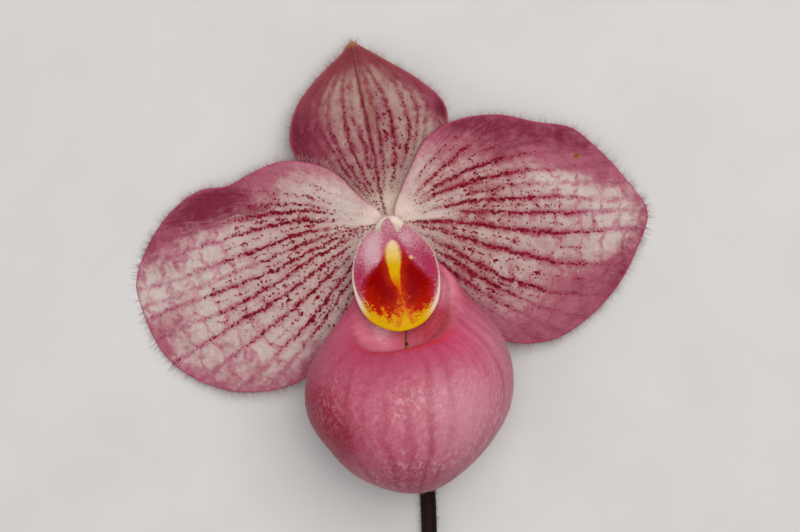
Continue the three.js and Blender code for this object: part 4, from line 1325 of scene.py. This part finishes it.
def staminode_nodes(tree, colours):
    """Enamel-like flesh: mottled pink lobes, a yellow wedge, deep red flanks with flames, and a pale rim."""
    place = in_mm(tree)
    red, yellow, rim = parted(read(tree, "marks"))
    pale, magenta, down = parted(read(tree, "tint"))
    speckle = cells(place, 3.3) - 0.42
    fine = noise(place, 2.6, 3.0, 0.65) - 0.5
    finest = noise(place, 6.0, 2.0, 0.6) - 0.5
    soft = noise(place, 0.8, 2.0) - 0.5
    # the lobes' magenta, paled where pale holds the painted highlights
    lilac = fine * 1.9 + (magenta - pale) + finest * 1.6
    # the red flanks, soft above and speckled at the sides
    upper = ramp(down, 12.0, 8.0)
    reach = red + speckle * ramp(upper, 0.0, 1.0, -1.9, -0.7) + (fine + soft) * 0.8
    flank = ramp(reach, ramp(upper, 0.0, 1.0, -0.15, -0.45), ramp(upper, 0.0, 1.0, 0.28, 0.75))
    # the wedge in its glow
    blur = ramp(down, 9.5, 4.5)
    inside = ramp(
        yellow + fine * 0.8, ramp(blur, 0.0, 1.0, -0.12, -0.42), ramp(blur, 0.0, 1.0, 0.20, 0.50))
    halo = ramp(yellow + soft * 1.4, -1.7, 0.1) * ramp(down, 3.0, 6.5)
    # the rim, the crumbs above it and the paler dot
    border = ramp(rim + (fine + finest) * 0.35 - ramp(down, 7.0, 16.0, 0.20, 0.74), 0.20, -0.12)
    border_colour = blend(ramp(down, 13.8, 17.0), colours.shield_white, colours.shield_yellow)
    crumbs = ramp(cells(place, 2.7), 0.30, 0.18) * ramp(down, 12.5, 14.0)
    crumbs = crumbs * (ramp(rim, 0.5, 0.9) * ramp(red, 0.6, -0.4))
    dot = ramp(away_from(place, LEMON_DOT_AT), 0.50, 0.20, 0.0, 0.8)
    colour = painted(
        colours.shield_pink,
        (ramp(lilac, -0.8, 0.9), colours.shield_magenta),
        (ramp(down, 12.6, 15.6), colours.shield_yellow),
        (flank, shield_flank(place, red, yellow, down, reach, fine, soft, colours)),
        (halo * 0.55, colours.shield_glow),
        (inside, shield_wedge(down, colours)),
        (border * ramp(down, 1.2, 4.0, 0.25, 0.95), border_colour),
        (crumbs * ramp(soft, -0.1, 0.1), colours.shield_orange),
        (dot, colours.shield_lemon),
    )
    height = fine * 0.7 + speckle * 0.35 + soft * 0.8
    finish_material(tree, colour, ramp(fine, -0.3, 0.3, 0.30, 0.42), height, depth=0.08, shine=0.03)


class ORCHID_OT_staminode(bpy.types.Operator):
    """Grow the shield over the column"""
    bl_idname = "orchid.staminode"
    bl_label = "Staminode"

    def execute(self, context):
        sizes, colours = settings()
        thick = sizes.staminode_thickness / MM
        mesh, x, y, rim = grow_blade(
            "staminode_shield", STAMINODE, staminode_height, thick, SHIELD_EDGE, around=320, rings=150)
        staminode_notes(mesh, x, y, rim)
        keep(mesh, "staminode", "staminode", "staminode enamel", staminode_nodes, colours)
        return {"FINISHED"}


# ---------- stalks ----------
def cross_directions(along):
    """Two directions at right angles to the way along a stalk: its right and its up."""
    side = np.array([1.0, 0.0, 0.0])
    right = unit(side - along * (along @ side)[..., None])
    return right, np.cross(right, along)


def grow_stalk(name, path, radius, around, steps, end_dish=0.0):
    """A stalk along a path. radius(turn, share) is in mm; end_dish hollows the two ends a little."""
    mesh, turn, share, size = tube_mesh(name, around, steps)
    share = np.clip(share, 0, 1)
    centre = curve_point(path, share)
    along = curve_tangent(path, share)
    right, up = cross_directions(along)
    reach = radius(turn, share) * size
    angle = FULL_TURN * turn
    points = centre + right * (np.cos(angle) * reach)[:, None] + up * (np.sin(angle) * reach)[:, None]
    cap = np.where(share < 1e-4, 1.0, np.where(share > 1 - 1e-4, -1.0, 0.0)) * rise(1 - size, 0.03, 0.3)
    points += along * (cap * end_dish)[:, None]
    put_down(mesh, points)
    note(mesh, "around", rows_of(np.cos(angle), np.sin(angle), share))
    note(mesh, "width", size)
    return mesh


def stem_radius(turn, share):
    base = STEM_RADIUS_AT_CUT + (STEM_RADIUS - STEM_RADIUS_AT_CUT) * np.minimum(1, 2 * share)
    return base * (1 + 0.02 * np.cos(FULL_TURN * turn * 5 + 4 * share)) - 0.03


def ovary_size(share):
    swelling = np.sin(math.pi * np.minimum(share * 1.12, 1)) ** 0.8
    return 1.5 + 0.75 * np.abs(swelling) + 1.1 * share ** 5


def ovary_radius(turn, share):
    ribs = np.cos(FULL_TURN * (3 * turn + 0.25)) * 0.5 + np.cos(FULL_TURN * 6 * turn) * 0.25
    return ovary_size(share) * (1 + 0.06 * ribs * rise(share, 0.03, 0.2) * rise(share, 0.98, 0.75)) - 0.05


def column_radius(turn, share):
    base = COLUMN_RADIUS_AT_FOOT + (COLUMN_RADIUS_AT_TOP - COLUMN_RADIUS_AT_FOOT) * share
    return base + 0.95 * bump(share, 0.27, 0.06)


def stem_nodes(tree, colours):
    """Maroon brown skin with faint long ribs, and a pale ring of pith where it is cut."""
    place = in_mm(tree)
    _, share = turned_round(tree)
    size = parted(read(tree, "width"))[0]
    across, along, up = parted(place)
    streak = noise(triple(across, along * 0.10, up), 1.6, 3.0, 0.6)
    bundles = ramp(cells(place, 2.6), 0.20, 0.12, 0.0, 0.7)
    pith = painted(PITH_PALE, (ramp(size, 0.30, 0.75), PITH_GREEN), (bundles, PITH_BUNDLE))
    colour = painted(
        colours.stem_brown,
        (ramp(streak, 0.35, 0.75), STEM_DARK),
        (ramp(noise(place, 0.25, 2.0), 0.56, 0.76, 0.0, 0.08), colours.ovary_green),
        (ramp(size, 0.96, 0.88) * ramp(share, 0.002, 0.0005), pith),
    )
    height = streak + noise(place, 3.5, 2.0) * 0.4
    finish_material(tree, colour, 0.56, height, depth=0.16, shine=0.10)


def ovary_nodes(tree, colours):
    """Brown ribs and greener furrows, paler near the flower."""
    place = in_mm(tree)
    angle, share = turned_round(tree)
    waves = cosine(angle * 3.0 + math.pi / 2)
    blotch, grain = noise(place, 0.7, 3.0, 0.6), noise(place, 4.0, 2.0)
    rib = waves * 0.5 + (blotch - 0.5) * 1.6
    colour = painted(
        colours.ovary_green,
        (ramp(rib, -0.35, 0.45), colours.stem_brown),
        (ramp(share, 0.72, 0.97, 0.0, 0.8), OVARY_TOP),
    )
    finish_material(
        tree, colour, ramp(grain, 0.3, 0.7, 0.50, 0.62), blotch * 1.2 + grain * 0.5, depth=0.15, shine=0.4,
        scatter=(0.08, (0.6, 0.5, 0.2), 1.0), others={"Sheen Weight": 0.2})


def bract_nodes(tree, colours):
    """Leaf green with fine long veins and brown-purple specks towards its foot."""
    place = in_mm(tree)
    angle, share = turned_round(tree)
    lines, mottle = cosine(angle * 17.0), noise(place, 0.9, 3.0, 0.6)
    colour = painted(
        colours.bract_green,
        (ramp(lines, 0.3, 1.0, 0.0, 0.5), BRACT_VEIN),
        (ramp(share * -1.2 + mottle, -0.3, 0.5, 0.0, 0.65), BRACT_BROWN),
        (ramp(cells(place, 1.5), 0.24, 0.14, 0.0, 0.7), colours.stem_brown),
    )
    finish_material(
        tree, colour, 0.5, lines * -0.5 + mottle, depth=0.10, shine=0.42,
        scatter=(0.1, (0.5, 0.6, 0.2), 0.8))


def cream_nodes(tree, colours):
    """Creamy, slightly translucent flesh with a faint blush."""
    place = in_mm(tree)
    cloud, grain = noise(place, 0.6, 3.0, 0.55), noise(place, 5.0, 2.0)
    colour = painted(
        colours.column,
        (ramp(cloud, 0.50, 0.74, 0.0, 0.45), colours.shield_pink),
        (ramp(parted(place)[2], 14.0, 11.0, 0.0, 0.15), COLUMN_FOOT),
    )
    finish_material(
        tree, colour, ramp(grain, 0.3, 0.7, 0.40, 0.52), cloud * 0.8 + grain * 0.4, depth=0.10, shine=0.4,
        scatter=(0.3, (1.0, 0.6, 0.4), 1.2))


def stigma_nodes(tree):
    """A wet, greenish cream plate with fine papillae."""
    place = in_mm(tree)
    beads, cloud = cells(place, 4.2), noise(place, 0.9, 2.0)
    colour = painted(
        STIGMA_GREEN,
        (ramp(cloud, 0.35, 0.7), STIGMA_BROWN),
        # painted shade: darker between the papillae, where the bump dips
        (ramp(beads, 0.35, 0.6, 0.0, 0.35), STIGMA_PAINTED_SHADE),
    )
    finish_material(
        tree, colour, ramp(cloud, 0.3, 0.7, 0.22, 0.34), beads * -1.0, depth=0.08,
        scatter=(0.2, (0.8, 0.7, 0.3), 0.8), others={"Coat Weight": 0.3, "Coat Roughness": 0.15})


def pollen_nodes(tree, colours):
    """Sticky yellow pollen, smeared and lumpy, in a paler case."""
    lumps = noise(in_mm(tree), 2.4, 3.0, 0.6)
    top = parted(read(tree, "lump"))[2]
    case = ramp(top + lumps * 0.5, 0.35, 0.05)
    colour = painted(colours.pollen, (ramp(lumps, 0.35, 0.65), POLLEN_SHADE), (case, colours.column))
    finish_material(
        tree, colour, ramp(lumps, 0.3, 0.7, 0.26, 0.45), lumps, depth=0.12,
        scatter=(0.15, (1.0, 0.6, 0.2), 0.6), others={"Coat Weight": 0.25, "Coat Roughness": 0.2})


def grow_lump(name, centre, half_sizes, tilt, shape_it):
    """A small rounded organ: a unit sphere, dented by shape_it(), sized, tilted about X and placed."""
    mesh, _, _ = sphere_mesh(name, around=72, rings=48)
    spots = spots_of(mesh)
    note(mesh, "lump", spots)
    x, y, z = (spots * shape_it(spots)[:, None] * np.array(half_sizes)).T
    cos, sin = math.cos(tilt), math.sin(tilt)
    put_down(mesh, rows_of(x, y * cos - z * sin, y * sin + z * cos) + np.array(centre))
    return mesh


def stigma_groove(spots):
    """Dents the stigma along its middle and squares its sides."""
    x, y, _ = spots.T
    return 1 - 0.16 * bump(x, 0, 0.22) * rise(y, 0.7, -0.4) - 0.05 * np.abs(x) ** 3


def anther_cleft(spots):
    """Parts the top of an anther into two."""
    x, _, z = spots.T
    return 1 - 0.20 * bump(x, 0, 0.25) * rise(z, -0.2, 0.6)


class ORCHID_OT_column(bpy.types.Operator):
    """Grow the column with its stigma and its two anthers"""
    bl_idname = "orchid.column"
    bl_label = "Column, stigma and anthers"

    def execute(self, context):
        _, colours = settings()
        mesh = grow_stalk("column_post", COLUMN_PATH, column_radius, around=96, steps=60, end_dish=0.15)
        keep(mesh, "column", "column", "column cream", cream_nodes, colours)
        mesh = grow_lump("stigma_plate", (0.7, -6.8, 18.1), (2.4, 2.0, 0.8), -0.69, stigma_groove)
        keep(mesh, "stigma", "stigma", "wet stigma", stigma_nodes)
        for node, centre in (("anther_left", (-2.3, -4.6, 19.7)), ("anther_right", (3.5, -4.4, 19.7))):
            mesh = grow_lump(node + "_lobes", centre, (1.1, 1.5, 1.0), 0.0, anther_cleft)
            keep(mesh, node, "anther", "sticky pollen", pollen_nodes, colours)
        return {"FINISHED"}


class ORCHID_OT_stem(bpy.types.Operator):
    """Grow the stem, the bract and the ovary"""
    bl_idname = "orchid.stem"
    bl_label = "Stem, bract and ovary"

    def execute(self, context):
        _, colours = settings()
        mesh = grow_stalk("stem_stalk", STEM_PATH, stem_radius, around=64, steps=260, end_dish=0.25)
        keep(mesh, "stem", "stem", "stem skin", stem_nodes, colours)
        mesh = grow_stalk("ovary_ribbed", OVARY_PATH, ovary_radius, around=96, steps=160, end_dish=0.1)
        keep(mesh, "ovary", "ovary", "ovary skin", ovary_nodes, colours)
        mesh = grow_bract("bract_sleeve")
        keep(mesh, "bract", "bract", "bract leaf", bract_nodes, colours)
        return {"FINISHED"}


def ring_mesh(name, around, rings, radius):
    """A new mesh of a ring of that radius about Z, as thick as a unit circle."""
    shape = bmesh.new()
    bmesh.ops.create_circle(shape, cap_ends=False, segments=rings, radius=1.0)
    upright = Matrix.Rotation(math.pi / 2, 3, "X")
    bmesh.ops.rotate(shape, cent=(0, 0, 0), matrix=upright, verts=shape.verts)
    bmesh.ops.translate(shape, vec=(radius, 0, 0), verts=shape.verts)
    bmesh.ops.spin(
        shape, geom=shape.verts[:] + shape.edges[:], cent=(0, 0, 0), axis=(0, 0, 1),
        angle=FULL_TURN, steps=around, use_merge=True)
    bmesh.ops.remove_doubles(shape, verts=shape.verts, dist=1e-5)
    bmesh.ops.recalc_face_normals(shape, faces=shape.faces)
    return made_mesh(name, shape)


def grow_bract(name):
    """A leafy sleeve round the foot of the ovary, drawn out to a point on its upper side."""
    ring_radius = 3
    mesh = ring_mesh(name, around=72, rings=36, radius=ring_radius)
    spots = spots_of(mesh)
    turn = np.arctan2(spots[:, 1], spots[:, 0])
    outward = np.clip(np.hypot(spots[:, 0], spots[:, 1]) - ring_radius, -1, 1)
    endward = np.clip(0.5 + 0.5 * spots[:, 2], 0, 1)
    upper = 0.5 + 0.5 * np.sin(turn)
    # how far along the ovary each vertex lies, and where on its path that is
    steps = np.linspace(0, 1, 400)
    path = curve_point(OVARY_PATH, steps)
    length = np.concatenate([[0], np.cumsum(np.linalg.norm(np.diff(path, axis=0), axis=1))])
    end = BRACT_LENGTH / length[-1] * (0.3 + 0.7 * upper ** 2.2)
    share = BRACT_START + (end - BRACT_START) * endward
    t = np.interp(share * length[-1], length, steps)
    wall = 0.22 * np.sign(outward) * np.minimum(1, np.abs(outward) * 3)
    curl = 0.35 * endward ** 3 * upper
    wavy = 0.05 * np.sin(turn * 5) * endward
    radius = ovary_size(share) + 0.35 + 0.25 + wall + curl + wavy
    right, up = cross_directions(curve_tangent(OVARY_PATH, t))
    points = curve_point(OVARY_PATH, t)
    points = points + right * (np.cos(turn) * radius)[:, None] + up * (np.sin(turn) * radius)[:, None]
    points[:, 2] = np.maximum(points[:, 2], 0.05)
    put_down(mesh, points)
    note(mesh, "around", rows_of(np.cos(turn), np.sin(turn), endward))
    return mesh


# ---------- hairs ----------
def grow_hairs(name, roots, directions, lengths, bends, thickness, levels=3):
    """Thin bent hairs, one for each root, as one mesh. All sizes are in mm."""
    shape = bmesh.new()
    bmesh.ops.create_cone(shape, cap_ends=True, segments=3, radius1=1.0, radius2=1.0, depth=1.0)
    bmesh.ops.translate(shape, vec=(0, 0, 0.5), verts=shape.verts)
    for k in range(1, levels + 1):
        everything = shape.verts[:] + shape.edges[:] + shape.faces[:]
        bmesh.ops.bisect_plane(shape, geom=everything, plane_co=(0, 0, k / (levels + 1)), plane_no=(0, 0, 1))
    single = bpy.data.meshes.new("one hair")
    shape.to_mesh(single)
    count = len(single.vertices)
    for _ in range(len(roots) - 1):
        shape.from_mesh(single)
    mesh = made_mesh(name, shape)
    spots = spots_of(single)[None, :, :]
    bpy.data.meshes.remove(single)
    along = unit(directions)[:, None, :]
    helper = np.where(np.abs(along[..., 2:3]) > 0.9, np.array([1.0, 0, 0]), np.array([0, 0, 1.0]))
    side = unit(np.cross(along, helper))
    other = np.cross(along, side)
    lift = spots[..., 2:3]
    slim = thickness / 2 * (1 - 0.8 * lift)
    size = lengths[:, None, None]
    points = roots[:, None, :] + along * lift * size + bends[:, None, :] * (lift ** 2) * size
    points = points + side * spots[..., 0:1] * slim + other * spots[..., 1:2] * slim
    put_down(mesh, points.reshape(-1, 3))
    note(mesh, "hair", np.repeat(np.broadcast_to(lift, (len(roots), count, 1)).reshape(-1, 1), 3, axis=1))
    return mesh


def margin_hairs(name, outline, height, count, length, seed, frill):
    """Hairs that stand out from the margin of a flat organ."""
    dice = np.random.default_rng(seed)
    _, margin = outline_samples(outline, 2000)
    steps = np.linalg.norm(np.roll(margin, -1, axis=0) - margin, axis=1)
    walked = np.concatenate([[0], np.cumsum(steps)])
    spots = np.sort(dice.uniform(0, walked[-1], count))
    index = np.searchsorted(walked, spots) % len(margin)
    at = margin[index].copy()
    ahead = margin[(index + 4) % len(margin)] - margin[(index - 4) % len(margin)]
    hub = np.mean(margin, axis=0)
    out = unit(rows_of(ahead[:, 1], -ahead[:, 0], np.zeros(count)))
    flip = np.sign(np.sum(out * (at - hub), axis=1))
    out *= flip[:, None]
    reach = np.hypot(at[:, 0], at[:, 1])
    keepers = (reach > 5.5) & (dice.uniform(0, 1, count) < 0.35 + 0.65 * rise(reach, 5, 12))
    at[:, 2] = height(at[:, 0], at[:, 1]) + frilled(frill, at[:, 0], at[:, 1])
    direction = out + unit(ahead) * dice.normal(0, 0.30, (count, 1))
    direction = direction + np.array([0, 0, 1]) * dice.normal(0.06, 0.28, (count, 1))
    sizes = length * dice.uniform(0.5, 1.15, count)
    bends = dice.normal(0, 0.16, (count, 3))
    tips = at + unit(direction) * sizes[:, None] + bends * sizes[:, None]
    keepers &= tips[:, 2] > 0.12
    at = at - out * 0.06
    return grow_hairs(
        name, at[keepers], direction[keepers], sizes[keepers], bends[keepers], thickness=0.055)


def pouch_hairs(dice, count, thickness):
    """Short hairs all over the outside of the pouch, below its lip."""
    turn, share = dice.uniform(0, 1, count), np.sqrt(dice.uniform(0.002, 0.40, count))
    normal = pouch_normal(turn, share)
    root = pouch_point(turn, share) + normal * (thickness / 2 - HAIR_SINK)
    direction = normal + dice.normal(0, 0.35, (count, 3))
    length, bend = dice.uniform(0.22, 0.55, count), dice.normal(0, 0.15, (count, 3))
    return grow_hairs("pouch_hairs", root, direction, length, bend, thickness=0.05, levels=1)


def column_hairs(dice, count):
    """Down round the foot of the column."""
    turn, share = dice.uniform(0, 1, count), dice.normal(0.27, 0.045, count)
    angle = FULL_TURN * turn
    out = rows_of(np.cos(angle), np.sin(angle), dice.normal(0.35, 0.3, count))
    radius = column_radius(turn, share) - HAIR_SINK
    root = curve_point(COLUMN_PATH, share) + out * [1, 1, 0] * radius[:, None]
    length, bend = dice.uniform(0.35, 0.95, count), dice.normal(0, 0.2, (count, 3))
    return grow_hairs("column_down", root, out, length, bend, thickness=0.06, levels=1)


def stalk_hairs(dice, path, radius, count, low, high):
    """Roots, directions and lengths of hairs round a stalk. Few of them stand under the bract."""
    turn, share = dice.uniform(0, 1, count), dice.uniform(low, high, count)
    along = curve_tangent(path, share)
    right, up = cross_directions(along)
    angle = FULL_TURN * turn
    out = right * np.cos(angle)[:, None] + up * np.sin(angle)[:, None]
    root = curve_point(path, share) + out * (radius(turn, share) - 0.03)[:, None]
    direction = out + along * dice.normal(0.15, 0.25, (count, 1))
    size = dice.uniform(0.35, 0.85, count)
    clear = (root + unit(direction) * size[:, None] * 1.2)[:, 2] > 0.1
    clear &= ~((share < 0.35) & (path is OVARY_PATH) & (dice.uniform(0, 1, count) < 0.9))
    return root[clear], direction[clear], size[clear]


class ORCHID_OT_hairs(bpy.types.Operator):
    """Grow the hairs of the margins, the pouch and the stem"""
    bl_idname = "orchid.hairs"
    bl_label = "Hairs"

    def execute(self, context):
        sizes, colours = settings()
        length = sizes.margin_hair_length / MM
        for name, slot, outline, height, share, seed, frill in (
            ("petal_left_hairs", "petal", PETAL_LEFT, left_petal_height, 1.0, 3, PETAL_FRILL),
            ("petal_right_hairs", "petal", PETAL_RIGHT, right_petal_height, 1.0, 4, PETAL_FRILL),
            ("top_sepal_hairs", "sepal", TOP_SEPAL, top_sepal_height, 0.75, 5, TOP_SEPAL_FRILL),
            ("lower_sepal_hairs", "sepal", LOWER_SEPAL, lower_sepal_height, 0.6, 6, LOWER_SEPAL_FRILL),
        ):
            mesh = margin_hairs(
                name, outline, height, int(sizes.margin_hairs * share), length, seed, frill)
            keep(mesh, None, slot, "pale hair", hair_nodes, colours.blush, colours.hair_white)
        dice = np.random.default_rng(HAIR_SEED)
        mesh = pouch_hairs(dice, sizes.pouch_hairs, sizes.pouch_thickness / MM)
        keep(mesh, None, "pouch", "pouch hair", hair_nodes, colours.pouch, colours.pouch_pale)
        mesh = column_hairs(dice, sizes.column_hairs)
        keep(mesh, None, "column", "column hair", hair_nodes, colours.column)
        on_stem = stalk_hairs(dice, STEM_PATH, stem_radius, int(sizes.stem_hairs * 0.7), 0.004, 0.996)
        on_ovary = stalk_hairs(dice, OVARY_PATH, ovary_radius, int(sizes.stem_hairs * 0.3), 0.02, 0.86)
        root, direction, size = (np.concatenate(pair) for pair in zip(on_stem, on_ovary))
        bend = dice.normal(0, 0.15, root.shape)
        mesh = grow_hairs("stem_hairs", root, direction, size, bend, thickness=0.05, levels=2)
        keep(mesh, None, "stem", "stem hair", hair_nodes, colours.stem_brown, colours.stem_hair)
        return {"FINISHED"}


# ---------- the stage ----------
TABLE_HALF_SIZE = 1.6
LIGHTS_AIM = (0.0, 0.045, 0.02)
SKY = (0.93, 0.94, 0.96, 1.0)
TABLE_COLOURS = ((0.60, 0.585, 0.57, 1.0), (0.63, 0.615, 0.60, 1.0))
CAMERA_AT = (0.00146, 0.05106, 0.615)
CAMERA_LENS = 153.41


def soft_light(name, place, size, power, colour=(1.0, 1.0, 1.0)):
    """A round soft light at a place, turned towards the flower."""
    light = bpy.data.lights.new(name, "AREA")
    light.shape = "DISK"
    light.size = size
    light.energy = power
    light.color = colour
    lamp = bpy.data.objects.new(name, light)
    bpy.context.scene.collection.objects.link(lamp)
    lamp.location = place
    away = np.array(LIGHTS_AIM) - np.array(place)
    tilt = math.atan2(math.hypot(away[0], away[1]), -away[2])
    lamp.rotation_euler = (tilt, 0.0, math.atan2(away[1], away[0]) - math.pi / 2)


def table_nodes(tree):
    """A pale, faintly clouded table top."""
    place = in_mm(tree)
    colour = blend(ramp(noise(place, 0.05, 3.0), 0.3, 0.7), *TABLE_COLOURS)
    finish_material(tree, colour, 0.7, noise(place, 1.5, 3.0), depth=0.02)


class ORCHID_OT_stage(bpy.types.Operator):
    """Lay the pale table top, and set the lights and the camera"""
    bl_idname = "orchid.stage"
    bl_label = "Stage"

    def execute(self, context):
        scene = context.scene
        shape = bmesh.new()
        bmesh.ops.create_grid(shape, x_segments=8, y_segments=8, size=TABLE_HALF_SIZE)
        mesh = made_mesh("table_top", shape)
        mesh.materials.append(material_once("pale table", table_nodes))
        table = bpy.data.objects.new("table_top", mesh)
        scene.collection.objects.link(table)
        soft_light("key light", (0.16, 0.26, 0.72), 0.50, 2.7, (1.0, 0.985, 0.96))
        soft_light("fill light", (-0.40, -0.10, 0.60), 0.60, 0.5, (0.97, 0.98, 1.0))
        soft_light("front light", (0.03, 0.04, 0.90), 0.34, 2.7)
        world = bpy.data.worlds.new("studio")
        world.use_nodes = True
        background = world.node_tree.nodes["Background"]
        background.inputs["Color"].default_value = SKY
        background.inputs["Strength"].default_value = 0.30
        scene.world = world
        scene.view_settings.view_transform = "Standard"
        camera = bpy.data.cameras.new("camera")
        camera.sensor_width = 36.0
        camera.lens = CAMERA_LENS
        camera.clip_start = 0.01
        holder = bpy.data.objects.new("camera", camera)
        scene.collection.objects.link(holder)
        holder.location = CAMERA_AT
        scene.camera = holder
        return {"FINISHED"}


class ORCHID_PT_panel(bpy.types.Panel):
    """Lists the pieces of the orchid and the settings that they read"""
    bl_idname = "ORCHID_PT_panel"
    bl_label = "Slipper orchid"
    bl_space_type = "VIEW_3D"
    bl_region_type = "UI"
    bl_category = "Orchid"

    def draw(self, context):
        for group in (context.scene.orchid_sizes, context.scene.orchid_colours):
            box = self.layout.box()
            for name in group.__annotations__:
                box.prop(group, name)
        for operator in STEPS:
            self.layout.operator(operator.bl_idname)


STEPS = (
    ORCHID_OT_stem, ORCHID_OT_sepals, ORCHID_OT_petals, ORCHID_OT_column, ORCHID_OT_pouch,
    ORCHID_OT_staminode, ORCHID_OT_hairs, ORCHID_OT_stage,
)
CLASSES = (OrchidSizes, OrchidColours, *STEPS, ORCHID_PT_panel)


def register():
    for item in CLASSES:
        bpy.utils.register_class(item)
    bpy.types.Scene.orchid_sizes = bpy.props.PointerProperty(type=OrchidSizes)
    bpy.types.Scene.orchid_colours = bpy.props.PointerProperty(type=OrchidColours)


def unregister():
    del bpy.types.Scene.orchid_colours
    del bpy.types.Scene.orchid_sizes
    for item in reversed(CLASSES):
        bpy.utils.unregister_class(item)


def main():
    register()
    for step in STEPS:
        group, action = step.bl_idname.split(".")
        getattr(getattr(bpy.ops, group), action)()


if __name__ == "__main__":
    main()
